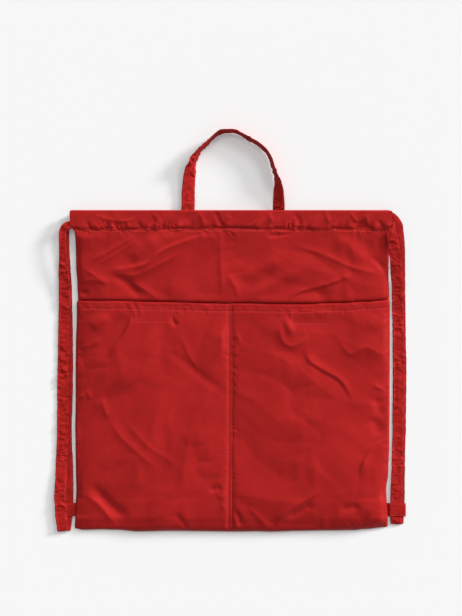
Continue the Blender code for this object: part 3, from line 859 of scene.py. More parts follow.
LEFT_POCKET_FOLDS = (
    Fold(LEFT_LIP, 8, 1.3, ((-124.3, 25.2), (-139.7, -6.9), (-163.4, -35.2))),
    Fold(SOFT, 7, 1, ((-157.7, 23.9), (-170.6, 12.3), (-182.2, 0.8))),
    Fold(CREASE, 5, 0.8, ((-197.6, -22.4), (-182.2, -18.5), (-166, -9.5))),
    Fold(SOFT, 9, 1.6, ((-88.5, 10.4), (-119.2, -31.4), (-137.2, -56.6), (-167.4, -85.4))),
    Fold(CREASE, 6, 1, ((-89.8, -9.5), (-119.2, -56.6), (-147.4, -77.7))),
    Fold(CREASE, 5, 0.9, ((-167.4, -85.4), (-164.2, -99.5), (-158.1, -114.3))),
    Fold(SOFT, 3, -1.2, ((-76.7, 25.2), (-76.7, 14.3), (-70.3, 3.7))),
    Fold(SOFT, 6, -0.6, ((-79.3, -6.9), (-76.7, -28.8), (-54.9, -45.5), (-38.7, -59.2),
         (-0.8, -85.4))),
    Fold(CREASE, 5, 0.6, ((-69, -1.4), (-52.3, -37.8), (-38.7, -54))),
    Fold(CREASE, 5, 0.8, ((-15, 2.4), (-13.7, -19.8), (-18.8, -39.1))),
    Fold(CREASE, 3, 0.8, ((-7.3, 23.9), (-6, 16.2), (-3.4, 9))),
    Fold(CREASE, 3, 0.7, ((-198.9, -88), (-193.7, -84.1), (-187.3, -81.5))),
    Fold(CREASE, 3, 0.7, ((-188.6, -75.1), (-184.7, -81.5), (-179.6, -89.2))),
    Fold(CREASE, 8, 0.9, ((-159.4, -108.5), (-143.6, -134.8), (-110.9, -165), (-91.2, -179.3))),
    Fold(CREASE, 6, 0.6, ((-143.6, -108.5), (-110.9, -145.3), (-84.7, -163.7), (-65.1, -179.3))),
    Fold(SOFT, 7, -1.4, ((-185.6, -192.1), (-167.3, -213.5), (-150.3, -229.3), (-129.4, -243.6))),
    Fold(CREASE, 5, 1, ((-198.9, -209.6), (-183.1, -213.5), (-170, -224), (-159.4, -237.1),
         (-146.3, -253.9))),
    Fold(SOFT, 4, -0.8, ((-74.1, -233.3), (-65.1, -244.9), (-58.7, -255.1))),
    Fold(CREASE, 4, 0.7, ((-18.8, -216.2), (-8.6, -209.6), (-2.1, -208.3))),
    Fold(CREASE, 4, 0.7, ((-16.3, -221.4), (-8.6, -228.1), (-0.8, -234.6))),
    Fold(SOFT, 4, -0.8, ((-30.8, -205.6), (-21.4, -202.4), (-12.4, -201.6))),
)

RIGHT_POCKET_FOLDS = (
    Fold(SOFT, 5, 1.2, ((65.5, 22.1), (72.5, 4), (79.4, -5.7))),
    Fold(CREASE, 4, 0.9, ((59.6, 17.9), (62.7, -10), (76.3, -19.8), (93, -9.5), (86.3, 4))),
    Fold(CREASE, 3, 0.7, ((2.8, -3.1), (8.2, -11.4), (4, -17))),
    Fold(LEFT_LIP, 8, 1.3, ((93, -21.1), (97.5, -36.5), (112.8, -47.7), (136.6, -61.6),
         (147.8, -76.9), (156, -93.7))),
    Fold(CREASE, 7, 1, ((129.7, -4.4), (150.5, -29.6), (171.5, -21.1), (198, -36.5))),
    Fold(CREASE, 3, 0.7, ((186.9, 24.8), (192.1, 21.3), (198, 17.9))),
    Fold(CREASE, 4, 0.9, ((178.4, -68.7), (188.2, -73.8), (198, -78.3))),
    Fold(SOFT, 6, -1, ((182.7, -82.6), (186.9, -98.3), (190.8, -114.6))),
    Fold(SOFT, 7, -1, ((179.2, -108.5), (184.3, -122.7), (189.5, -136.8))),
    Fold(LEFT_LIP, 7, 1.1, ((198, -136.4), (178.4, -150.3), (166, -175.4), (167.2, -188))),
    Fold(CREASE, 5, 1, ((195.1, -204.7), (182.7, -224.3), (168.7, -242.3))),
    Fold(LEFT_LIP, 7, 1.3, ((50.1, -256.4), (68.2, -234.1), (101.8, -211.8), (115.7, -197.8))),
    Fold(SOFT, 5, -1.1, ((68.2, -242.3), (86.6, -230.7), (104.6, -220.2))),
    Fold(CREASE, 5, 0.9, ((47.4, -253.6), (32.6, -238.4), (18.1, -224.3))),
    Fold(SOFT, 4, -1.2, ((-2.9, -229.9), (6.9, -238.3), (11.1, -252.2))),
    Fold(SOFT, 5, -0.9, ((135.2, -229.9), (149.6, -226.9), (164.5, -224.3))),
)


@dataclass(frozen=True)
class Crumple:
    """The small sharp creases all over thin calendered nylon: long faint ones, and short ones in patches."""

    seed: int = 5
    facet_height: float = 1.9 * MM
    small_facets: float = 0.5 * MM
    long_height: float = 1.3 * MM
    middle_height: float = 0.6 * MM
    fine_height: float = 0.22 * MM
    bend: float = 9 * MM  # how far the creases wander
    bend_cell: float = 60 * MM
    patch_cell: float = 45 * MM
    # Direction in degrees, usual length and usual width, the first two to the left and to the right
    long_creases: tuple = ((50, 85 * MM, 34 * MM), (-36, 85 * MM, 34 * MM))
    wide_facets: tuple = ((46, 62 * MM, 30 * MM), (-34, 62 * MM, 30 * MM))
    middle_creases: tuple = (15, 34 * MM, 19 * MM)
    fine_creases: tuple = (65, 13 * MM, 7.5 * MM)
    facets: tuple = (70, 24 * MM, 13 * MM)
    turn_half: float = 30 * MM  # the lean turns from left to right within this distance of the middle

    def at(self, x: Array, y: Array) -> Array:
        """The creases' height.

        Args:
            x: Places across the bag.
            y: Places up the bag.

        Returns:
            The height at each place, in metres.
        """
        noise = [SoftNoise(self.seed + i) for i in range(9)]
        bend_x = x + self.bend * noise[0].at(x / self.bend_cell, y / self.bend_cell)
        bend_y = y + self.bend * noise[0].at(x / self.bend_cell + 20, y / self.bend_cell + 20)
        rightward = smooth((x + self.turn_half) / (2 * self.turn_half))
        long = mix(noise[1].turned(bend_x, bend_y, *self.long_creases[0]),
                   noise[2].turned(bend_x, bend_y, *self.long_creases[1]), rightward)
        middle = noise[3].turned(bend_x, bend_y, *self.middle_creases)
        fine = noise[4].turned(x, y, *self.fine_creases)
        patches = smooth(noise[5].at(x / self.patch_cell, y / self.patch_cell) * 1.4 + 0.3)
        wide = mix(noise[6].facets(bend_x, bend_y, *self.wide_facets[0]),
                   noise[7].facets(bend_x, bend_y, *self.wide_facets[1]), rightward)
        small = noise[8].facets(bend_x, bend_y, *self.facets)
        return (self.facet_height * wide + self.small_facets * small * (0.4 + patches)
                + self.long_height * long + patches * (self.middle_height * middle + self.fine_height * fine))


def puckers(along: Array, distance: Array, seed: int, height: float, spacing: float = 5.2 * MM,
            reach: float = 7 * MM) -> Array:
    """Small ripples square to a line of stitches, where the thread draws the cloth in.

    Args:
        along: Places along the stitches.
        distance: Distances from them.
        seed: The noise's seed.
        height: The ripples' height at the stitches.
        spacing: Their usual spacing.
        reach: How far they run out into the cloth.

    Returns:
        The ripples' height.
    """
    wander = SoftNoise(seed)
    patch_cell, sunk = 31 * MM, 0.6 * MM
    place = along / spacing + 0.7 * wander.at(distance / (1.6 * spacing), along / (4 * spacing))
    strength = 0.55 + 0.75 * wander.at(along / patch_cell + 9)
    fade = np.exp(-np.abs(distance) / reach) * smooth(np.abs(distance) / sunk + 0.25)
    ripple = 1 - 2.2 * wander.ridged(place, distance / (3.5 * spacing))
    return 0.8 * height * ripple * np.clip(strength, 0.1, 1.3) * fade


# ---- Stitches ----


@dataclass
class StitchRow:
    """Rows of lockstitches lying on the cloth, each a short thread with sunken ends."""

    length: float = 2.4 * MM
    pitch: float = 3.2 * MM
    radius: float = 0.34 * MM
    at: list = field(default_factory=list)
    ahead: list = field(default_factory=list)
    up: list = field(default_factory=list)

    def follow(self, line: Array, up: Array) -> None:
        """Adds stitches along a line.

        Args:
            line: Points along the row, on the cloth's surface, in rows of three.
            up: The cloth's outward direction at each of them.
        """
        lengths = np.linalg.norm(np.diff(line, axis=0), axis=1)
        run = np.concatenate([[0.0], np.cumsum(lengths)])
        count = int(run[-1] / self.pitch)
        if count < 1:
            return
        middles = (np.arange(count) + 0.5) * run[-1] / count

        def read(values: Array, places: Array) -> Array:
            """Values read off the row at these distances along it."""
            return np.stack([np.interp(places, run, values[:, i]) for i in range(3)], axis=1)

        self.at.append(read(line, middles))
        self.ahead.append(read(line, middles + self.length / 2) - read(line, middles - self.length / 2))
        self.up.append(read(up, middles))

    def build(self, name: str) -> Piece:
        """Makes every stitch as one mesh.

        Args:
            name: The piece's name.

        Returns:
            The new object.
        """
        bpy.ops.object.select_all(action="DESELECT")
        bpy.ops.mesh.primitive_uv_sphere_add(segments=6, ring_count=5, radius=1.0)
        model = bpy.context.active_object
        shape = np.empty(len(model.data.vertices) * 3)
        model.data.vertices.foreach_get("co", shape)
        shape = shape.reshape(-1, 3)
        faces = [tuple(polygon.vertices) for polygon in model.data.polygons]
        bpy.data.objects.remove(model, do_unlink=True)
        at, ahead, up = (np.vstack(rows) for rows in (self.at, self.ahead, self.up))
        ahead = ahead / np.linalg.norm(ahead, axis=1)[:, None]
        up = up - ahead * (up * ahead).sum(1)[:, None]
        up = up / np.linalg.norm(up, axis=1)[:, None]
        beside = np.cross(up, ahead)
        # Long along the row, full at the middle and dipping into the cloth at both needle holes.
        ends = 1 - np.abs(shape[:, 2]) ** 2.5
        sink = 0.35 * self.radius - 1.1 * self.radius * np.abs(shape[:, 2]) ** 3
        points = (at[:, None] + ahead[:, None] * (shape[:, 2] * self.length / 2)[:, None]
                  + beside[:, None] * (shape[:, 0] * self.radius * np.sqrt(ends + 0.05))[:, None]
                  + up[:, None] * (shape[:, 1] * self.radius + sink)[:, None])
        mesh = bpy.data.meshes.new(name)
        count = len(shape)
        mesh.from_pydata(points.reshape(-1, 3).tolist(), [],
                         [tuple(v + i * count for v in face) for i in range(len(at)) for face in faces])
        mesh.update()
        made = bpy.data.objects.new(name, mesh)
        bpy.context.scene.collection.objects.link(made)
        select_only(made)
        bpy.ops.object.mode_set(mode="EDIT")
        bpy.ops.mesh.select_all(action="SELECT")
        bpy.ops.mesh.normals_make_consistent(inside=False)
        bpy.ops.object.mode_set(mode="OBJECT")
        bpy.ops.object.shade_smooth()
        return made


# ---- Panels ----


def column_shares(fine: float, divided: bool) -> Array:
    """Shares of the width at which a panel has a column, closer at its seams.

    Args:
        fine: The usual spacing, in metres.
        divided: Whether it is also closer at the pocket's divider.

    Returns:
        Rising shares from 0 to 1.
    """
    near = np.array([0, 0.5, 1.0, 1.5, 2.1, 2.7, 3.4, 4.2, 5.2, 6.4, 7.8]) * MM
    width, middle = FORM.width, FORM.divider_x + FORM.half_width
    if divided:
        centre = np.array([0, 0.7, 1.4, 2.1, 2.7, 3.3, 4.0, 5.0, 6.3]) * MM
        left = stations((near[-1], 0), (middle - centre[-1], fine))[1:-1]
        right = stations((middle + centre[-1], 0), (width - near[-1], fine))[1:-1]
        inner = np.concatenate([left, middle - centre[::-1], middle + centre[1:], right])
    else:
        inner = stations((near[-1], 0), (width - near[-1], fine))[1:-1]
    return np.concatenate([near, inner, width - near[::-1]]) / width


def panel_xy(shares: Array, rises: Array) -> tuple[Array, Array]:
    """A panel's points on the bag.

    Args:
        shares: Shares of the width, one for each column.
        rises: Heights above the bottom seam, one for each row.

    Returns:
        X and Y, rows by columns. The lowest rows follow the bottom seam.
    """
    rough_x = mix(-FORM.half_width, FORM.half_width, shares)[None, :]
    lift = FORM.bottom(rough_x) - FORM.bottom_y
    y = FORM.bottom_y + rises[:, None] + lift * np.maximum(0.0, 1 - rises[:, None] / (45 * MM))
    x = mix(FORM.edge(-1, y), FORM.edge(1, y), shares[None, :])
    return x, y


def casing_xy(level: Array, out: Array, inset: Array, shares: Array) -> tuple[Array, Array]:
    """A casing's points on the bag.

    Args:
        level: Places up the bag, one for each row, in a column.
        out: The share of its overhang past the side seams that each row stands out, in a column.
        inset: 0 on the outer face and 1 on the layer turned in, in a column.
        shares: Shares of the width, one for each column.

    Returns:
        X and Y, rows by columns.
    """
    left = (FORM.casing_overhang - FORM.casing_shift - FORM.left_pull) * out
    right = (FORM.casing_overhang + FORM.casing_shift) * out
    y = np.repeat(level, len(shares), axis=1)
    x = mix(FORM.edge(-1, y) - left + FORM.hem_in * inset, FORM.edge(1, y) + right - FORM.hem_in * inset,
            shares[None, :])
    return x, y


def up_cloth(places: Array) -> Array:
    """Distances up a panel's cloth from its lowest row, one for each of its points."""
    steps = np.linalg.norm(np.diff(places, axis=0), axis=2)
    return np.vstack([np.zeros((1, places.shape[1])), np.cumsum(steps, axis=0)])


@dataclass
class ClothPanel:
    """What the panels share: a sheet of cloth and its stitches."""

    thickness: float = 0.4 * MM

    def make_cloth(self, name: str, across: Array, places: Array) -> None:
        """Makes the sheet.

        Args:
            name: The piece's name.
            across: How far across the flat cloth each point lies.
            places: Where each point lies in the world.
        """
        self.piece = cloth_grid(name, places, np.stack([across, up_cloth(places)], axis=-1))
        give_wall(self.piece, self.thickness)
        shade(self.piece)

    def stand_for(self, node: str, finishes: Finishes) -> None:
        """Gives the sheet and its stitches their finishes and their place in the frame."""
        settle(self.piece, finishes.nylon, node)
        settle(self.stitches, finishes.thread)


@dataclass
class FrontPanel(ClothPanel):
    """The front panel: pressed flat under the pocket, creased above it, and gathered into a casing."""

    fine: float = 1.7 * MM
    seam_ridge: float = 0.55 * MM
    crumple: Crumple = Crumple()
    slit_depth: float = 2.4 * MM
    pocket_sink: float = 0.9 * MM
    ledge_height: float = 1.5 * MM
    pleat_height: float = 2.0 * MM
    gather_height: float = 1.3 * MM
    lean_height: float = 0.8 * MM
    fine_height: float = 0.6 * MM
    deep_height: float = 0.4 * MM
    small_height: float = 0.25 * MM
    rim_height: float = 0.45 * MM

    def upper_wrinkles(self, x: Array, y: Array) -> Array:
        """The folds between the pocket's mouth and the casing.

        Args:
            x: Places across the bag.
            y: Places up the bag.

        Returns:
            The folds' height at each place.
        """
        up = y - (FORM.pocket_y + FORM.mouth_offset(x))
        down = FORM.stitch_y - y
        from_side, _ = FORM.from_seams(x, y)
        fade = smooth((up + 6 * MM) / (9 * MM)) * smooth(down / (10 * MM)) * smooth(from_side / (9 * MM))
        folds = fold_field(UPPER_FOLDS, x, y) + self.crumple.at(x, y)
        drawn = puckers(x, down, 31, 1.15 * MM, 5.6 * MM, 8 * MM) * smooth(from_side / (4 * MM))
        sides = puckers(y, from_side, 32, 0.9 * MM, 7 * MM, 10 * MM) * smooth(down / (6 * MM))
        slit = -self.slit_depth * bell(up - 1.1 * MM, 1.4 * MM) * smooth(from_side / (6 * MM))
        # Above the pocket's mouth the cloth stands up a little, and shades the opening under it.
        swell = (0.35 + 0.6 * SoftNoise(33).at(x / (33 * MM))) * MM * bell(up - 7 * MM, 4.5 * MM)
        return (folds * fade + drawn * (y < FORM.stitch_y) + sides + slit
                + swell * smooth(from_side / (12 * MM)))

    def seam_line(self, x: Array, y: Array) -> Array:
        """The raised edge a little inside each side seam, where the seam allowance lies under the cloth."""
        from_side, _ = FORM.from_seams(x, y)
        return self.seam_ridge * bell(from_side - 2.4 * MM, 1.0 * MM)

    def casing_rows(self) -> Array:
        """The casing's section, from its stitch line over the fold to its inner edge.

        Returns:
            Rows of five numbers: the place up the bag, the height, the share of its overhang that it stands
            out, 1 where it is turned in, and 1 on the outer face, falling to 0 over the fold.
        """
        face_y = stations((FORM.stitch_y, 0), (FORM.stitch_y + 6 * MM, 0.75 * MM),
                          (FORM.top_y - 6 * MM, 1.1 * MM), (FORM.fold_y, 0.9 * MM))[1:]
        level = mix(FORM.stitch_z, FORM.casing_z, smooth((face_y - FORM.stitch_y) / (6 * MM)))
        out = mix(0.30, 1.0, smooth((face_y - FORM.stitch_y) / (13 * MM)))
        rows = [(y, z, o, 0.0, 1.0) for y, z, o in zip(face_y, level, out)]
        radius, turns = FORM.front_tunnel / 2, 10
        for i in range(1, turns + 1):
            turn = math.pi * i / turns
            rows.append((FORM.fold_y + radius * math.sin(turn), FORM.casing_z - radius * (1 - math.cos(turn)),
                         1.0, 0.5 - 0.5 * math.cos(turn), max(0.0, math.cos(turn))))
        for y in stations((FORM.fold_y, 0), (FORM.stitch_y, 3.4 * MM))[1:]:
            rows.append((y, FORM.front_hem_z, 1.0, 1.0, 0.0))
        return np.array(rows)

    def lumps(self, x: Array, y: Array) -> Array:
        """The gathers in the casing: deep beside its stitches and faint at its fold.

        Args:
            x: Places across the bag.
            y: Places up the bag.

        Returns:
            The gathers' height at each place.
        """
        up = y - FORM.stitch_y
        wander = SoftNoise(41)
        deep = wander.at(x / (8.5 * MM) + 0.6 * wander.at(x / (20 * MM), y / (20 * MM)), y / (17 * MM))
        small = SoftNoise(42).at(x / (4.2 * MM), y / (8 * MM))
        lean = SoftNoise(43).turned(x, y, 62, 45 * MM, 19 * MM)
        patch = np.clip(0.9 + 0.9 * SoftNoise(44).at(x / (38 * MM)), 0.35, 1.6)
        low = bell(up - 4 * MM, 7 * MM)
        lane = x / (6.5 * MM) + 0.5 * wander.at(x / (30 * MM), y / (12 * MM))
        slant = 0.12 * up / MM * SoftNoise(49).at(x / (40 * MM))
        pleat = np.exp(-SoftNoise(48).ridged(lane + slant, y / (22 * MM)) / 0.17)
        gather = SoftNoise(46).facets(x, y, 64, 17 * MM, 7 * MM)
        fine = SoftNoise(47).facets(x, y, 25, 14 * MM, 6.5 * MM)
        ledge_up = 3.2 * MM + 1.3 * MM * SoftNoise(50).at(x / (21 * MM))
        ledge = np.clip(0.55 + 1.1 * SoftNoise(51).at(x / (12 * MM)), 0.0, 1.3)
        ledge = ledge * bell(up - ledge_up, 2.0 * MM)
        by_stitches = (self.deep_height * deep + self.small_height * small + self.gather_height * gather
                       - self.pleat_height * pleat) * low * patch
        return smooth(up / (1.0 * MM)) * (fold_field(CASING_FOLDS, x, y) - self.ledge_height * ledge
                                          + self.lean_height * lean + self.fine_height * fine + by_stitches)

    def build(self) -> None:
        """Makes the panel and its stitch line."""
        shares = column_shares(self.fine, divided=False)
        rises = stations((0, 0), (3 * MM, 0.75 * MM), (14 * MM, 2.8 * MM),
                         (FORM.pocket_height - 14 * MM, 8 * MM),
                         (FORM.stitch_y - FORM.bottom_y - 8 * MM, 1.6 * MM),
                         (FORM.stitch_y - FORM.bottom_y, 0.8 * MM))
        x, y = panel_xy(shares, rises)
        under_pocket = smooth((FORM.pocket_y - 6 * MM - y) / (10 * MM))
        z = FORM.front_height(x, y) + self.upper_wrinkles(x, y) * (1 - under_pocket) + self.seam_line(x, y)
        z = z - self.pocket_sink * under_pocket * smooth(FORM.from_seams(x, y)[0] / (8 * MM))
        level, height, out, inset, face = np.hsplit(self.casing_rows(), 5)
        casing_x, lane_y = casing_xy(level, out, inset, shares)
        rim = self.rim_height * SoftNoise(45).at(
            mix(-FORM.half_width, FORM.half_width, shares[None, :]) / (30 * MM))
        casing_y = lane_y + rim * smooth((level - FORM.top_y + 8 * MM) / (6 * MM))
        casing_z = height + face * self.lumps(casing_x, lane_y)
        x, y, z = np.vstack([x, casing_x]), np.vstack([y, casing_y]), np.vstack([z, casing_z])
        places = FORM.world(x, y, z)
        self.make_cloth("front_panel_cloth", x, places)
        stitches = StitchRow()
        # The line stops three columns short of each side seam.
        row = places[len(rises) - 1, 3:-3] + [0, 0, self.thickness / 2]
        stitches.follow(row, np.tile([0, 0, 1.0], (len(row), 1)))
        self.stitches = stitches.build("front_casing_stitches")

    def dress(self, finishes: Finishes) -> None:
        """Gives the panel its finish and its place in the frame."""
        self.stand_for("front_panel", finishes)


@dataclass
class PocketPanel(ClothPanel):
    """The wide front pocket, sewn down at both sides, the bottom and the divider, and hemmed at its mouth."""

    fine: float = 1.7 * MM
    crumple: Crumple = Crumple(seed=17)
    divider_half: float = 2.6 * MM
    seam_ridge: float = 0.55 * MM
    hem_groove: float = 0.35 * MM
    hem_facets: float = 0.40 * MM
    mouth_wave: float = 0.30 * MM
    divider_groove: float = 0.16 * MM
    wrap: float = 0.6 * MM  # how far its cloth bulges past the seams

    def height(self, x: Array, y: Array, line_y: Array) -> Array:
        """The pocket cloth's height.

        Args:
            x: Places across the bag.
            y: Places up the bag.
            line_y: The same places measured from the wandering mouth, for what is sewn parallel to it.

        Returns:
            The height at each place.
        """
        from_side, from_bottom = FORM.from_seams(x, y)
        from_divider = np.abs(x - FORM.divider_x)
        puff = FORM.rise(from_side) * FORM.rise(from_bottom) \
            * FORM.rise(np.maximum(0, from_divider - self.divider_half))
        open_top = smooth((line_y - (FORM.pocket_y - 3 * FORM.pocket_hem)) / (2 * FORM.pocket_hem))
        stack = 2 * FORM.closure_thickness + 3 * FORM.gap + FORM.cloth
        lifted = FORM.pocket_puff * puff * (1 - 0.2 * open_top)
        lifted = np.maximum(lifted, (stack - FORM.layer + FORM.gap) * FORM.over_closure(x, line_y))
        folds = fold_field(LEFT_POCKET_FOLDS + RIGHT_POCKET_FOLDS, x, y) + self.crumple.at(x, y)
        inner = smooth(from_side / (9 * MM)) * smooth(from_bottom / (9 * MM)) \
            * smooth((from_divider - self.divider_half) / (7 * MM))
        folds = folds * inner * (1 - open_top)
        base = FORM.front_height(x, y) + FORM.layer + FORM.gap / 2 + FORM.layer * open_top
        return base + lifted + folds + self.seams(x, y, line_y, from_side, from_bottom)

    def seams(self, x: Array, y: Array, line_y: Array, from_side: Array, from_bottom: Array) -> Array:
        """The ridge inside each side seam, and the ripples along every line of stitches.

        Args:
            x: Places across the bag.
            y: Places up the bag.
            line_y: The same places measured from the wandering mouth.
            from_side: How far each lies inside the nearer side seam.
            from_bottom: How far each lies above the bottom seam.

        Returns:
            The height at each place.
        """
        ridge = self.seam_ridge * bell(from_side - 2.6 * MM, 1.0 * MM)
        from_mouth = FORM.pocket_y - line_y
        below_hem = FORM.pocket_y - FORM.pocket_hem - line_y
        hem = -self.hem_groove * bell(below_hem, 0.9 * MM)
        hem_folds = puckers(x, below_hem, 51, 0.8 * MM, 4.6 * MM, 6 * MM)
        on_hem = smooth(-below_hem / (1.5 * MM)) * smooth(from_mouth / (2 * MM))
        facets = SoftNoise(58).facets(x, line_y, 84, 14 * MM, 5.5 * MM)
        hem_folds = hem_folds + self.hem_facets * facets * on_hem
        edge_wave = self.mouth_wave * SoftNoise(52).at(x / (16 * MM), 0.5) \
            * smooth((4 * MM - from_mouth) / (5 * MM))
        from_divider = x - FORM.divider_x
        channel = 0.0
        for side in (-1, 1):
            away = np.abs(from_divider - side * self.divider_half)
            outside = side * from_divider - self.divider_half
            channel = channel - self.divider_groove * bell(away, 0.7 * MM) \
                + puckers(y, outside, 53 + side, 0.75 * MM, 5.0 * MM, 7 * MM) * (outside > 0)
        sides = puckers(y, from_side, 56, 0.9 * MM, 8 * MM, 11 * MM)
        foot = puckers(x, from_bottom, 57, 0.8 * MM, 8 * MM, 11 * MM)
        return ridge + hem + hem_folds + edge_wave + channel * smooth(below_hem / (2 * MM)) + sides + foot

    def build(self) -> None:
        """Makes the pocket and its lines of stitches."""
        shares = column_shares(self.fine, divided=True)
        rises = stations((0, 0), (3 * MM, 0.75 * MM), (9 * MM, 1.2 * MM),
                         (FORM.pocket_height - 18 * MM, self.fine), (FORM.pocket_height, 0.9 * MM))
        x, y = panel_xy(shares, rises)
        grows = smooth((rises - (FORM.pocket_height - 70 * MM)) / (60 * MM))[:, None]
        line_y = y
        y = y + FORM.mouth_offset(x) * grows
        z = self.height(x, y, line_y)
        folded = shares[None, :] * 2 - 1
        x = x + self.wrap * folded * np.abs(folded) ** 8
        y = y - self.wrap * np.maximum(0.0, 1 - rises[:, None] / (18 * MM))
        self.upper = FORM.world(x, y, z)
        # The hem turned in: how far down from the mouth, and the share of a layer that it lies underneath
        turned_in = ((-0.2 * MM, 0.25), (0.0, 0.6), (0.6 * MM, 1.0), (3 * MM, 1.0), (6 * MM, 1.0),
                     (9 * MM, 1.0))
        hem = []
        for down, under in turned_in:
            i = int(np.argmin(np.abs(rises - (FORM.pocket_height - max(down, 0.0)))))
            place = self.upper[i].copy()
            place[:, 1] = self.upper[-1][:, 1] - down
            place[:, 2] -= FORM.layer * under
            hem.append(place)
        places = np.concatenate([self.upper, np.array(hem)], axis=0)
        self.make_cloth("pocket_cloth", places[..., 0], places)
        self.stitches = self.sew(shares, rises).build("pocket_stitches")

    def sew(self, shares: Array, rises: Array) -> StitchRow:
        """The hem's line, the divider's two lines and the rectangle round each closure.

        Args:
            shares: The panel's columns.
            rises: The panel's rows.

        Returns:
            The rows of stitches.
        """
        rows = StitchRow()
        over = np.array([0, 0, self.thickness / 2])
        body_x = mix(-FORM.half_width, FORM.half_width, shares)

        def along_row(rise: float, low: float, high: float) -> None:
            """Stitches across the bag.

            Args:
                rise: How far above the bag's bottom.
                low: Where they start, across the bag.
                high: Where they end.
            """
            row = int(np.argmin(np.abs(rises - rise)))
            chosen = (body_x >= low) & (body_x <= high)
            rows.follow(self.upper[row, chosen] + over, np.tile([0, 0, 1.0], (chosen.sum(), 1)))

        def along_column(place: float, low: float, high: float) -> None:
            """Stitches up the bag.

            Args:
                place: Where, across the bag.
                low: How far above the bag's bottom they start.
                high: How far above it they end.
            """
            column = int(np.argmin(np.abs(body_x - place)))
            chosen = (rises >= low) & (rises <= high)
            rows.follow(self.upper[chosen, column] + over, np.tile([0, 0, 1.0], (chosen.sum(), 1)))

        edge = FORM.half_width - 3 * MM
        hem_rise = FORM.pocket_height - FORM.pocket_hem
        along_row(hem_rise, -edge, edge)
        for side in (-1, 1):
            along_column(FORM.divider_x + side * self.divider_half, 3 * MM, hem_rise)
            middle = FORM.closure_x(side)
            low, high = middle - FORM.closure[0] / 2, middle + FORM.closure[0] / 2
            foot = FORM.closure_y - FORM.closure[1] / 2 - FORM.bottom_y
            along_row(foot, low, high)
            along_column(low, foot, hem_rise)
            along_column(high, foot, hem_rise)
        return rows

    def dress(self, finishes: Finishes) -> None:
        """Gives the pocket its finish and its place in the frame."""
        self.stand_for("pocket_panel", finishes)


@dataclass
class BackPanel(ClothPanel):
    """The back panel, flat on the table, with its own gathered casing and the seams' turned edges."""

    fine: float = 3.2 * MM
    crease_height: float = 0.55 * MM
    crease_limit: float = 0.5 * MM
    gather_height: float = 0.45 * MM
    stitch_lowest: float = 0.12 * MM

    def casing_rows(self, ground: float) -> Array:
        """The casing's section, from its stitch line over the fold and back down to the stitches.

        Args:
            ground: The panel's height on the table.

        Returns:
            Rows of four numbers: the place up the bag, the height, the share of its overhang that it
            stands out, and 1 where it is turned in.
        """
        rows = [(v, ground, mix(0.3, 1.0, float(smooth(np.array((v - FORM.stitch_y) / (13 * MM))))), 0.0)
                for v in stations((FORM.stitch_y, 0), (FORM.fold_y, 1.5 * MM))[1:]]
        radius, turns = FORM.tunnel / 2, 8
        for i in range(1, turns + 1):
            turn = math.pi * i / turns
            rows.append((FORM.fold_y + radius * math.sin(turn), ground + radius * (1 - math.cos(turn)), 1.0,
                         0.5 - 0.5 * math.cos(turn)))
        for v in stations((FORM.fold_y, 0), (FORM.stitch_y + FORM.casing_dip, 3 * MM))[1:]:
            rows.append((v, FORM.back_hem_z, 1.0, 1.0))
        rows.append((FORM.stitch_y, FORM.back_z + FORM.layer, 1.0, 1.0))
        return np.array(rows)

    def build(self) -> None:
        """Makes the panel and its stitch line."""
        shares = column_shares(self.fine, divided=False)
        rises = stations((0, 0), (3 * MM, 0.8 * MM), (12 * MM, 2.4 * MM),
                         (FORM.stitch_y - FORM.bottom_y - 12 * MM, 4 * MM),
                         (FORM.stitch_y - FORM.bottom_y, 1.5 * MM))
        x, y = panel_xy(shares, rises)
        from_side, from_bottom = FORM.from_seams(x, y)
        away = np.minimum(from_side, from_bottom)
        ground = FORM.back_z - 0.03 * MM
        broad = SoftNoise(61).turned(x, y, 48, 90 * MM, 50 * MM)
        creases = self.crease_height * broad * smooth(away / (20 * MM))
        creases = creases + np.abs(puckers(x, FORM.stitch_y - y, 62, 0.6 * MM, 6 * MM, 9 * MM))
        z = ground + np.minimum(creases, self.crease_limit) * smooth(away / (8 * MM))
        level, height, out, inset = np.hsplit(self.casing_rows(ground), 4)
        casing_x, lane_y = casing_xy(level, out, inset, shares)
        gathers = np.abs(SoftNoise(63).at(casing_x / (8 * MM), lane_y / (18 * MM)))
        gathers = self.gather_height * gathers * smooth((level - FORM.stitch_y) / (2 * MM))
        on_face = (height <= ground + 1e-6) & (inset == 0)
        casing_z = height + np.where(on_face, gathers, 0.0)
        x, y, z = np.vstack([x, casing_x]), np.vstack([y, lane_y]), np.vstack([z, casing_z])
        places = FORM.world(x, y, z)
        self.make_cloth("back_panel_cloth", x, places)
        stitches = StitchRow(radius=0.15 * MM)
        row = places[len(rises) - 1, 3:-3] + [0, 0, 0.07 * MM - self.thickness / 2]
        row[:, 2] = np.maximum(row[:, 2], self.stitch_lowest)
        stitches.follow(row, np.tile([0, 0, -1.0], (len(row), 1)))
        self.stitches = stitches.build("back_casing_stitches")

    def dress(self, finishes: Finishes) -> None:
        """Gives the panel its finish and its place in the frame."""
        self.stand_for("back_panel", finishes)


# ---- Straps ----


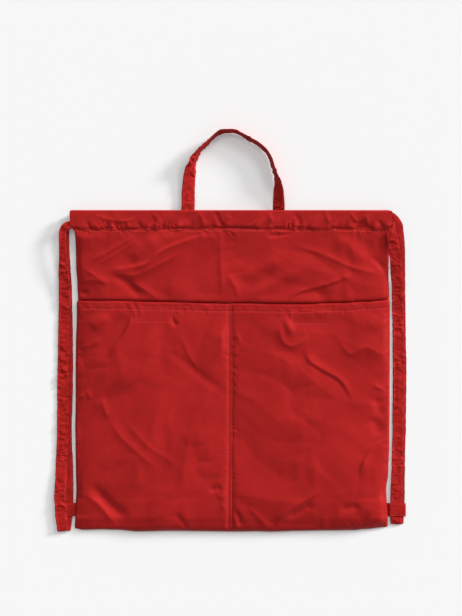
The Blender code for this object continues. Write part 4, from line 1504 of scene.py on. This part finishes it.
@dataclass
class StrapSurface:
    """A flat strap of folded and stitched cloth swept along a run, with ripples between its edge stitches.

    Middles and halves are rows of three: the strap's middle line, and from there to its edge.
    """

    middles: Array
    halves: Array
    closed: bool
    seed: int
    thickness: float = 1.0 * MM
    ripple: float = 1.5 * MM
    spacing: float = 5.6 * MM
    stitch_in: float = 0.76  # where the edge stitches lie, as a share of the half width
    lowest: float = 0.02 * MM
    unit: float = 6.5 * MM  # the half width that its ripples are drawn for
    calm: Array | None = None  # 1 where the strap shows, down to 0 where it needs no ripples
    facing: int = -1  # 1 where its halves, turned about its run, already give the face that shows

    def frames(self) -> tuple[Array, Array]:
        """The run's own frames.

        Returns:
            Distances along the run, and the strap's outward face at each of its stations.
        """
        if self.closed:
            ahead = np.roll(self.middles, -1, axis=0) - np.roll(self.middles, 1, axis=0)
        else:
            ahead = np.gradient(self.middles, axis=0)
        ahead = ahead / np.linalg.norm(ahead, axis=1)[:, None]
        face = self.facing * np.cross(ahead, self.halves)
        face = face / np.linalg.norm(face, axis=1)[:, None]
        steps = np.linalg.norm(np.diff(self.middles, axis=0), axis=1)
        return np.concatenate([[0.0], np.cumsum(steps)]), face

    def place(self, across: Array, side: float, run: Array, face: Array) -> Array:
        """Points on one face of the strap.

        Args:
            across: Shares of the half width, from -1 to 1.
            side: 1 for the outward face and -1 for the other.
            run: Distances along the run.
            face: The outward direction at each station.

        Returns:
            Stations by places across by 3.
        """
        noise, edge = SoftNoise(self.seed), SoftNoise(self.seed + 1)
        u, s = across[None, :], run[:, None]
        width = np.linalg.norm(self.halves, axis=1)[:, None]
        shown = np.ones_like(s) if self.calm is None else self.calm[:, None]
        slant = 0.35 * width * u * noise.at(s / (45 * MM), 0.5)
        place = u * width / self.unit
        crease = np.exp(-edge.ridged((s + slant) / (0.62 * self.spacing), place) / 0.3)
        swell = 0.6 * noise.at((s - slant) / self.spacing, 1.7 * place) \
            + 0.3 * edge.at(s / (0.45 * self.spacing), 2.6 * place)
        strength = np.clip(0.9 + 0.9 * noise.at(s / (26 * MM), 31.0), 0.35, 1.5)
        from_stitches = np.abs(u) - self.stitch_in
        between = 1 - 0.6 * bell(from_stitches, 0.13)
        # No ripple goes deeper than the strap is thick.
        ripple = self.ripple * strength * (swell - crease) * between * shown
        ripple = np.maximum(ripple, -0.85 * self.thickness)
        groove = self.thickness * (0.22 * bell(from_stitches, 0.10) - 0.20 * bell(np.abs(u) - 0.92, 0.07))
        crown = self.thickness / 2 * (0.76 + 0.24 * shown) * (1 - np.abs(u) ** 6) ** 0.5
        scallop = 1 + 0.030 * shown * edge.at(s / (0.8 * self.spacing), np.sign(u) * 5.0)
        drift = 0.25 * MM * shown * noise.at(s / (35 * MM), 12.0 + 0.8 * u)
        off = side * (crown - groove * (np.abs(u) < 0.98)) + ripple * (0.6 + 0.4 * side) + drift
        sideways = self.halves[:, None] * (u * scallop)[..., None]
        return self.middles[:, None] + sideways + face[:, None] * off[..., None]

    def build(self, name: str) -> Piece:
        """Makes the strap's closed surface.

        Args:
            name: The piece's name.

        Returns:
            The new object.
        """
        run, face = self.frames()
        half = np.array([0.13, 0.38, 0.6, 0.76, 0.86, 0.96, 1.0])
        across = np.concatenate([-half[::-1], half])
        upper = self.place(across, 1.0, run, face)
        lower = self.place(across[::-1][1:-1], -1.0, run, face)
        places = np.concatenate([upper, lower, upper[:, :1]], axis=1)
        width = np.linalg.norm(self.halves, axis=1)[:, None]
        around = np.concatenate([across, 2 - across[::-1][1:-1], [3.0]])
        flat = np.stack([around[None, :] * width, np.repeat(run[:, None], len(around), axis=1)], axis=-1)
        if self.closed:
            places = np.concatenate([places, places[:1]], axis=0)
            last = flat[-1:] + [0.0, float(np.linalg.norm(self.middles[0] - self.middles[-1]))]
            flat = np.concatenate([flat, last], axis=0)
        else:
            # Both cut ends are turned in and sewn shut.
            for end in (0, -1):
                shut = places[end].mean(axis=0)
                cap = np.repeat(shut[None, :], places.shape[1], axis=0)
                places = np.concatenate([cap[None], places] if end == 0 else [places, cap[None]], axis=0)
                flat = np.concatenate([flat[:1], flat] if end == 0 else [flat, flat[-1:]], axis=0)
        places[..., 2] = np.maximum(places[..., 2], self.lowest)
        made = cloth_grid(name, places, flat, closed=True)
        shade(made)
        return made

    def sew(self, rows: StitchRow, chosen: Array) -> None:
        """Adds the strap's edge stitches, on both faces.

        Args:
            rows: The stitches to add to.
            chosen: Which stations show, as a mask.
        """
        run, face = self.frames()
        for side in (1.0, -1.0):
            lines = self.place(np.array([-self.stitch_in, self.stitch_in]), side, run, face)
            lines[..., 2] = np.maximum(lines[..., 2], self.lowest + 1.1 * rows.radius)
            edges = np.nonzero(np.diff(np.concatenate([[0], chosen.astype(int), [0]])))[0]
            for start, end in zip(edges[::2], edges[1::2]):
                for column in (0, 1):
                    rows.follow(lines[start:end, column], face[start:end] * side)


@dataclass
class SewnStrap:
    """What every piece of sewn strap shares: its cloth, its edge stitches and its finish."""

    name: str

    def make(self, surface: StrapSurface, sewn: Array) -> None:
        """Makes the cloth and its edge stitches.

        Args:
            surface: The strap's surface.
            sewn: Which of its stations have stitches that show, as a mask.
        """
        self.piece = surface.build(self.name + "_cloth")
        rows = StitchRow(pitch=3.0 * MM, radius=0.30 * MM, length=2.2 * MM)
        surface.sew(rows, sewn)
        self.stitches = rows.build(self.name + "_stitches")

    def dress(self, finishes: Finishes) -> None:
        """Gives the piece its finish and its place in the frame."""
        settle(self.piece, finishes.strap, self.name)
        settle(self.stitches, finishes.thread)


@dataclass
class DrawStrap(SewnStrap):
    """A drawstring strap: a sewn ring up beside the bag, through both casings and down to its corner tab."""

    side: int
    end_up: float
    front_run: tuple
    back_run: tuple
    front_up: float
    back_up: float
    back_exit_high: bool
    lift: float = 0.0  # how much higher the front strand's top lies, where it crosses the bag's edge
    back_slant: float = 0.0
    narrows: float = 0.80  # the share of the way up at which it begins to gather
    side_steps: int = 380
    tunnel_steps: int = 90
    turn_steps: int = 22
    turn_depth: float = 6.5 * MM
    turn_inset: float = 2.5 * MM

    def levels(self) -> tuple[float, float, float]:
        """The lines that the strap takes inside a casing.

        Returns:
            The low, the high and the middle line.
        """
        low = FORM.stitch_y + FORM.casing_dip + FORM.gap + FORM.strap_gathered / 2
        high = FORM.top_y - FORM.tunnel / 2 - FORM.cloth - FORM.gap - FORM.strap_gathered / 2
        return low, high, (low + high) / 2

    def strand(self, run: tuple, z: tuple[float, float, float], exit_y: float) -> tuple[Array, Array]:
        """The free strand beside the bag, from its fold at the bottom to the turn into the casing.

        Args:
            run: Shares of the way up, and how far outside the body's side the strand lies there.
            z: The strand's height at its fold, in the middle and at the top.
            exit_y: Where it goes into the casing.

        Returns:
            Its middles and halves.
        """
        share = np.arange(self.side_steps + 1) / self.side_steps
        low_y = FORM.bottom_y + self.end_up + (self.front_up - self.back_up) / 2
        y = mix(low_y, exit_y - FORM.strap_width * 0.8, share)
        level = mix(z[0], z[1], smooth((share - 0.12) / 0.12))
        level = mix(level, z[2], smooth((share - 0.72) / 0.28))
        gathered = smooth((share - self.narrows) / min(0.17, 1.06 - self.narrows))
        width = mix(FORM.strap_width, FORM.strap_gathered, gathered)
        x = FORM.half_width + through(run, share)
        return np.stack([x, y, level], axis=1), np.outer(width / 2, [-1.0, 0.0, 0.0])

    def corner(self, start: Array, z: float, exit_y: float, near: float, wide: float,
               slant: float = 0.0) -> tuple[Array, Array]:
        """The quarter turn, gathered narrow, from the strand's top into the casing's end.

        Args:
            start: The strand's last middle.
            z: The height at which it goes into the casing.
            exit_y: Where it goes into the casing.
            near: How far from the bag's middle the casing ends.
            wide: The strand's width at its top.
            slant: 0 for a round turn, 1 for a straight one.

        Returns:
            Its middles and halves.
        """
        angle = math.pi / 2 * np.arange(1, self.turn_steps + 1) / self.turn_steps
        reach, climb = start[0] - near, exit_y - start[1]
        share = 2 * angle / math.pi
        across, up = mix(np.cos(angle), 1 - share, slant), mix(np.sin(angle), share, slant)
        level = mix(start[2], z, smooth(share))
        middles = np.stack([near + reach * across, start[1] + climb * up, level], axis=1)
        half_width = mix(wide, FORM.strap_gathered, np.sin(angle))[:, None] / 2
        return middles, np.stack([-np.cos(angle), -np.sin(angle), np.zeros_like(angle)], axis=1) * half_width

    def tunnel(self, z: float, near: tuple[float, float], far: tuple[float, float]) -> tuple[Array, Array]:
        """The strand inside a casing, gathered at both ends and a little wider between them.

        Args:
            z: Its height.
            near: X and Y where it goes in.
            far: X and Y where it turns round.

        Returns:
            Its middles and halves.
        """
        share = np.arange(1, self.tunnel_steps + 1) / self.tunnel_steps
        spread = smooth(share / 0.2) * smooth((1 - share) / 0.2)
        y = mix(mix(near[1], far[1], smooth(share)), self.levels()[2] + 1 * MM, spread)
        width = mix(FORM.strap_gathered, 1.1 * FORM.strap_gathered, spread)
        middles = np.stack([mix(near[0], far[0], share), y, np.full_like(share, z)], axis=1)
        return middles, np.outer(width / 2, [0.0, -1.0, 0.0])

    def ring(self) -> tuple[Array, Array, Array]:
        """The whole ring, worked out with X pointing away from the bag.

        Returns:
            Its middles and halves in the world, and 1 where it lies outside the casings.
        """
        low, high, _ = self.levels()
        near_x = FORM.half_width + FORM.casing_overhang + self.side * FORM.casing_shift
        far_x = -(FORM.half_width + FORM.casing_overhang - self.side * FORM.casing_shift) + self.turn_inset
        step = FORM.strap_thickness + FORM.gap
        over_other = step if self.side < 0 else 0.0
        front_z = FORM.front_hem_z + 0.75 * MM + 0.6 * over_other
        back_z = FORM.back_z + FORM.cloth / 2 + FORM.gap + FORM.strap_thickness / 2 + over_other
        rest = FORM.strap_thickness / 2
        back_exit, far_back = (high if self.back_exit_high else low), (low if self.side < 0 else high)
        front = self.strand(self.front_run, (self.front_up, rest + step, front_z + self.lift), low)
        back = self.strand(self.back_run, (self.back_up, rest, back_z), back_exit)
        wide = 2 * float(np.linalg.norm(front[1][-1]))
        front_corner = self.corner(front[0][-1], front_z, low, near_x, wide)
        back_corner = self.corner(back[0][-1], back_z, back_exit, near_x, wide, self.back_slant)
        front_tunnel = self.tunnel(front_z, (near_x, low), (far_x + self.turn_depth, high))
        back_tunnel = self.tunnel(back_z, (near_x, back_exit), (far_x + self.turn_depth, far_back))
        # The half turn inside the casing's far end, from the front casing down to the back one
        angle = math.pi * np.arange(1, 2 * self.turn_steps) / (2 * self.turn_steps)
        share = (1 - np.cos(angle)) / 2
        turn_y = mix(high, far_back, smooth((share - 0.22) / 0.56))
        turn = np.stack([far_x + self.turn_depth * (1 - np.sin(angle)), turn_y,
                         mix(front_z, back_z, share)], axis=1)
        turn_half = np.tile([0.0, -FORM.strap_gathered / 2, 0.0], (len(angle), 1))
        # The fold at the bottom corner, which the tab holds
        fold_angle = math.pi * np.arange(1, self.turn_steps) / self.turn_steps
        share = (1 - np.cos(fold_angle)) / 2
        radius = (self.front_up - self.back_up) / 2
        fold = np.stack([mix(back[0][0, 0], front[0][0, 0], share),
                         FORM.bottom_y + self.end_up + radius * (1 - np.sin(fold_angle)),
                         mix(self.back_up, self.front_up, share)], axis=1)
        fold_half = np.tile([-FORM.strap_width / 2, 0.0, 0.0], (len(fold), 1))
        down = [tuple(rows[::-1] for rows in part) for part in (back_tunnel, back_corner, back)]
        parts = [(front, 1), (front_corner, 1), (front_tunnel, 0), ((turn, turn_half), 0),
                 (down[0], 0), (down[1], 1), (down[2], 1), ((fold, fold_half), 1)]
        middles = np.concatenate([part[0] for part, _ in parts])
        halves = np.concatenate([part[1] for part, _ in parts])
        outside = np.concatenate([np.full(len(part[0]), shown, float) for part, shown in parts])
        flip = np.array([self.side, 1.0, 1.0])
        middles = middles * flip + [FORM.shift, 0.0, 0.0]
        return middles, halves * flip, outside

    def build(self) -> None:
        """Makes the ring and its edge stitches."""
        middles, halves, outside = self.ring()
        # The ripples die away over six stations to each side of where it goes in.
        around = np.concatenate([outside[-6:], outside, outside[:6]])
        calm = np.convolve(around, np.ones(13) / 13, mode="valid")
        surface = StrapSurface(middles, halves, closed=True, seed=71 + self.side, calm=calm,
                               facing=self.side)
        self.make(surface, outside > 0.5)


@dataclass
class CornerTab(SewnStrap):
    """A strip folded round one strand of the strap, with both ends sewn into the side seam."""

    side: int
    low_z: float
    near_strand: float
    reach: float = 24 * MM
    root: float = 5 * MM

    def build(self) -> None:
        """Makes the tab and its edge stitches."""
        thick, gap = FORM.tab_thickness, FORM.gap
        step = thick + FORM.strap_thickness + 2 * gap  # from its lower to its upper half
        # The strap's pull draws the side seam in at the tab, and more so on the right.
        height = (FORM.tab_y - FORM.bottom_y) / FORM.height
        pull = 3 * MM * bell(height - 0.14, 0.11) * (1.0 if self.side > 0 else 0.25)
        seam = FORM.half_width - pull
        out, level = seam + self.reach, FORM.half_width + self.near_strand - FORM.strap_width / 2 - gap
        low, high = FORM.cloth + gap + thick / 2, FORM.cloth + 2 * gap + 1.5 * thick
        # Out of the seam under the strand, round its far edge, and back over it into the seam
        route = [(seam - self.root, low), (seam + 2.5 * gap, low), (level, self.low_z)]
        turn = np.pi * np.arange(9) / 8
        route += list(zip(out - step / 2 * (1 - np.sin(turn)), self.low_z + step / 2 * (1 - np.cos(turn))))
        route += [(level, self.low_z + step), (seam + 2.5 * gap, high), (seam - self.root, high)]
        line = np.array(route)
        dense = [line[:1]]
        for a, b in zip(line, line[1:]):
            count = max(1, int(np.hypot(*(b - a)) / (1.0 * MM)))
            dense.append(a + (b - a) * (np.arange(1, count + 1) / count)[:, None])
        line = np.concatenate(dense)
        x = self.side * line[:, 0] + FORM.shift
        middles = np.stack([x, np.full(len(line), FORM.tab_y), line[:, 1]], axis=1)
        halves = np.tile([0.0, self.side * FORM.tab_height / 2, 0.0], (len(line), 1))
        surface = StrapSurface(middles, halves, closed=False, seed=83 + self.side, thickness=0.7 * MM,
                               ripple=0.12 * MM, stitch_in=0.84)
        self.make(surface, np.ones(len(line), bool))


@dataclass
class HandLoop(SewnStrap):
    """The short hand loop, sewn inside the back of the mouth, which stands on edge where it bends over."""

    name: str = "hand_loop"
    width: float = 17 * MM
    thick: float = 1.2 * MM
    spread: float = 115.7 * MM
    middle_x: float = 0.7 * MM
    foot: float = 22 * MM
    bend_steps: int = 18
    # Shares of its spread across and its drop up, and its twist in degrees, at each bend. A negative twist
    # leans its upper edge in over the hand's opening.
    route: tuple = (
        (-0.500, -0.215, 0), (-0.500, 0.00, -3), (-0.498, 0.24, -12), (-0.478, 0.46, -30),
        (-0.440, 0.62, -56), (-0.378, 0.735, -72), (-0.300, 0.825, -76), (-0.215, 0.925, -78),
        (-0.140, 0.985, -75), (-0.058, 0.999, -78), (0.022, 0.992, -76), (0.092, 0.955, -79),
        (0.165, 0.905, -76), (0.242, 0.860, -79), (0.322, 0.790, -76), (0.384, 0.710, -78),
        (0.418, 0.620, -76), (0.452, 0.500, -77), (0.484, 0.390, -70), (0.500, 0.270, -46),
        (0.502, 0.140, -32), (0.500, 0.00, -24), (0.500, -0.215, 0),
    )

    def build(self) -> None:
        """Makes the loop and its edge stitches."""
        rest = self.thick / 2 + FORM.gap / 2
        foot_z = FORM.back_hem_z + FORM.cloth / 2 + FORM.gap + self.thick / 2
        across, up, twist = np.array(self.route, float).T
        drop = smooth(up / 0.4)
        on_table = self.width / 2 * np.abs(np.sin(np.radians(twist))) + rest
        height = np.where(up > 0, up * (FORM.handle_drop - self.thick), up / -up[0] * self.foot)
        points = np.stack([self.middle_x + across * self.spread + FORM.shift, FORM.top_y + height,
                           mix(foot_z, on_table, drop)], axis=1)
        middles = smooth_line(points, self.bend_steps)
        turned = np.radians(smooth_line(twist[:, None], self.bend_steps)[:, 0])
        ahead = np.gradient(middles, axis=0)
        flat = np.stack([ahead[:, 1], -ahead[:, 0], np.zeros(len(ahead))], axis=1)
        flat = flat / np.linalg.norm(flat, axis=1)[:, None]
        lean = flat * np.cos(turned)[:, None] + np.outer(np.sin(turned), [0.0, 0.0, 1.0])
        surface = StrapSurface(middles, lean * self.width / 2, closed=False, seed=91, thickness=1.5 * MM,
                               ripple=2.4 * MM, spacing=6.2 * MM)
        self.make(surface, middles[:, 1] > FORM.top_y + 1 * MM)


@dataclass
class ClosureStrips:
    """The hook-and-loop strips that close each half of the pocket, two to a side."""

    names: tuple = (("left_loop_strip", -1, 0), ("left_hook_strip", -1, 1),
                    ("right_loop_strip", 1, 0), ("right_hook_strip", 1, 1))
    nap: float = 0.06 * MM
    nap_cell: float = 1.2 * MM
    nap_room: float = 0.15 * MM

    def strip(self, name: str, side: int, above: int) -> Piece:
        """One strip, following the front panel.

        Args:
            name: The CAD node that it stands for.
            side: The left (-1) or right (1) half of the pocket.
            above: 0 for the strip sewn to the front panel, 1 for the one sewn under the pocket.

        Returns:
            The new object.
        """
        (width, height), thick = FORM.closure, FORM.closure_thickness
        u, v = np.linspace(-0.5, 0.5, 47)[None, :], np.linspace(-0.5, 0.5, 16)[:, None]
        # Slightly rounded corners, as the strips are cut
        pinch = 1 - 0.02 * (np.abs(2 * v) ** 8)
        x = FORM.closure_x(side) + u * width * pinch
        y = FORM.closure_y + v * height + 0 * u
        lift = FORM.cloth / 2 + FORM.gap + thick / 2 + above * (thick + FORM.gap)
        nap = self.nap * SoftNoise(101 + above).at(x / self.nap_cell, y / self.nap_cell)
        places = FORM.world(x, y, FORM.front_height(x, y) + lift + nap)
        made = cloth_grid(name.replace("_strip", "_tape"), places, np.stack([x, y], axis=-1))
        give_wall(made, thick - self.nap_room)
        shade(made)
        return made

    def build(self) -> None:
        """Makes the four strips."""
        self.pieces = [self.strip(*row) for row in self.names]

    def dress(self, finishes: Finishes) -> None:
        """Gives the strips their finish and their place in the frame."""
        for piece, (name, _, _) in zip(self.pieces, self.names):
            settle(piece, finishes.tape, name)


def settle(piece: Piece, finish: bpy.types.Material, node: str | None = None) -> None:
    """Gives a piece its finish and its place on the frame.

    Args:
        piece: The piece.
        finish: Its material.
        node: The CAD node that the piece stands for, if it stands for one.
    """
    piece.data.materials.clear()
    piece.data.materials.append(finish)
    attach(piece, "root")
    if node:
        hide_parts(node)


# ---- Studio ----


@dataclass
class Studio:
    """The white board, the soft lights and the camera straight above."""

    board: float = 6.0
    camera_height: float = 3.0
    frame_height: float = 0.792
    frame_middle: tuple[float, float] = (0.77 * MM, 29.06 * MM)
    sensor: float = 36.0
    room_light: float = 0.29
    # Name, strength, height above the horizon, direction round from +X and width, in degrees
    lamps: tuple = (("raking_light", 2.4, 13.0, 68.0, 9.0), ("side_light", 2.9, 17.0, 30.0, 12.0),
                    ("key_softbox", 0.85, 36.0, 42.0, 18.0), ("overhead_softbox", 0.56, 62.0, 108.0, 18.0))
    shadowless: str = "raking_light"

    def build(self) -> None:
        """Makes the board, the lights, the world and the camera."""
        bpy.ops.object.select_all(action="DESELECT")
        bpy.ops.mesh.primitive_plane_add(size=self.board, location=(0, 0, 0))
        board = bpy.context.active_object
        board.name = board.data.name = "photo_board"
        board.data.transform(board.matrix_world)
        board.data.materials.append(TableTop().make())
        board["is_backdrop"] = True
        self.light_room()
        for name, strength, elevation, azimuth, softness in self.lamps:
            self.hang(name, strength, math.radians(elevation), math.radians(azimuth), math.radians(softness))
        self.place_camera()
        bpy.context.scene.view_settings.view_transform = "Standard"

    def hang(self, name: str, strength: float, elevation: float, azimuth: float, softness: float) -> None:
        """Hangs one distant lamp.

        Args:
            name: Its name.
            strength: The light that it gives a surface facing it.
            elevation: Its height above the horizon, in radians.
            azimuth: Its direction round from +X, in radians.
            softness: How wide it looks from the bag, in radians.
        """
        light = bpy.data.lights.new(name, "SUN")
        light.energy, light.angle = strength, softness
        lamp = bpy.data.objects.new(name, light)
        bpy.context.scene.collection.objects.link(lamp)
        # The raking light only brings out the cloth's creases. Its long shadows would cross the board, its
        # bounced light would redden the board, and its gloss would whiten the cloth in low views.
        if name == self.shadowless:
            light.use_shadow, light.cycles.max_bounces, lamp.visible_glossy = False, 0, False
        toward = Vector((math.cos(azimuth) * math.cos(elevation), math.sin(azimuth) * math.cos(elevation),
                         math.sin(elevation)))
        lamp.rotation_euler = toward.to_track_quat("Z", "Y").to_euler()

    def light_room(self) -> None:
        """Fills the room with even pale light; the camera and reflections see it as white walls."""
        world = bpy.data.worlds.new("white_studio")
        bpy.context.scene.world = world
        world.use_nodes = True
        tree = world.node_tree
        tree.nodes.clear()
        path = add_node(tree, "ShaderNodeLightPath")
        seen = add_node(tree, "ShaderNodeMath", {0: path.outputs["Is Camera Ray"],
                                                 1: path.outputs["Is Transmission Ray"]}, operation="MAXIMUM")
        seen = add_node(tree, "ShaderNodeMath", {0: seen.outputs[0], 1: path.outputs["Is Glossy Ray"]},
                        operation="MAXIMUM")
        white = (1.0, 1.0, 1.0, 1.0)
        fill = add_node(tree, "ShaderNodeBackground", {"Color": white, "Strength": self.room_light})
        walls = add_node(tree, "ShaderNodeBackground", {"Color": linear("F6F6F6"), "Strength": 1.0})
        room = {0: seen.outputs[0], 1: fill.outputs[0], 2: walls.outputs[0]}
        both = add_node(tree, "ShaderNodeMixShader", room)
        add_node(tree, "ShaderNodeOutputWorld", {"Surface": both.outputs[0]})

    def place_camera(self) -> None:
        """Sets the camera straight above the bag, with +Y up in its view."""
        camera = bpy.data.cameras.new("camera")
        camera.sensor_width = self.sensor
        camera.lens = self.sensor * self.camera_height / self.frame_height
        camera.clip_start, camera.clip_end = 0.05, 50.0
        stand = bpy.data.objects.new("camera", camera)
        bpy.context.scene.collection.objects.link(stand)
        stand.location = (*self.frame_middle, self.camera_height)
        bpy.context.scene.camera = stand


# How each strap lies on its side of the bag: shares of the way up, and how far out its middle lies there
LEFT_STRAP = DrawStrap(
    name="left_strap", side=-1, end_up=-0.3 * MM,
    front_run=((0.0, 0.0180), (0.06, 0.0205), (0.11, 0.0216), (0.2, 0.0200), (0.33, 0.0181),
               (0.5, 0.0177), (0.67, 0.0166), (0.8, 0.0156), (0.9, 0.0172), (1.0, 0.0180)),
    back_run=((0.0, 0.0155), (0.06, 0.0130), (0.11, 0.0122), (0.2, 0.0126), (0.33, 0.0145),
              (0.5, 0.0129), (0.67, 0.0130), (0.8, 0.0142), (0.9, 0.0145), (1.0, 0.0150)),
    front_up=2 * FORM.tab_thickness + 1.5 * FORM.strap_thickness + 4 * FORM.gap,
    back_up=FORM.tab_thickness + 2 * FORM.gap + FORM.strap_thickness / 2,
    back_exit_high=False,
)
RIGHT_STRAP = DrawStrap(
    name="right_strap", side=1, end_up=8.2 * MM,
    front_run=((0.0, 0.0100), (0.06, 0.0100), (0.11, 0.0103), (0.2, 0.0118), (0.33, 0.0128),
               (0.5, 0.0133), (0.67, 0.0130), (0.8, 0.0121), (0.9, 0.0095), (0.96, 0.0062), (1.0, 0.0034)),
    back_run=((0.0, 0.0120), (0.06, 0.0133), (0.11, 0.0134), (0.2, 0.0138), (0.33, 0.0150),
              (0.5, 0.0158), (0.67, 0.0148), (0.8, 0.0142), (0.9, 0.0139), (1.0, 0.0126)),
    front_up=FORM.tab_thickness + 1.5 * FORM.strap_thickness + 3 * FORM.gap,
    back_up=FORM.gap + FORM.strap_thickness / 2,
    back_exit_high=True,
    lift=1.9 * MM,
    back_slant=0.7,
    narrows=0.94,
)


def corners(box: tuple[Vector, Vector]) -> list[list[float]]:
    """A box's two corners as plain lists."""
    return [list(corner) for corner in box]


def main() -> None:
    """Builds and dresses every sub-assembly of the bag, then the studio."""
    logging.basicConfig(level=logging.INFO, format="%(message)s")
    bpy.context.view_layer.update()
    finishes = Finishes()
    first_tab_z = FORM.gap + FORM.tab_thickness / 2
    tab_step = FORM.strap_thickness + FORM.gap
    assemblies = [
        BackPanel(), FrontPanel(), PocketPanel(), ClosureStrips(), LEFT_STRAP, RIGHT_STRAP,
        CornerTab("left_tab", -1, first_tab_z, min(out for _, out in LEFT_STRAP.back_run[:4])),
        CornerTab("right_tab", 1, first_tab_z + tab_step, min(out for _, out in RIGHT_STRAP.front_run[:4])),
        HandLoop(),
    ]
    for assembly in assemblies:
        assembly.build()
        assembly.dress(finishes)
        LOG.info("made %s", type(assembly).__name__)
    Studio().build()
    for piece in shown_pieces():
        LOG.info("%s: %d faces", piece.name, len(piece.data.polygons))


if __name__ == "__main__":
    main()
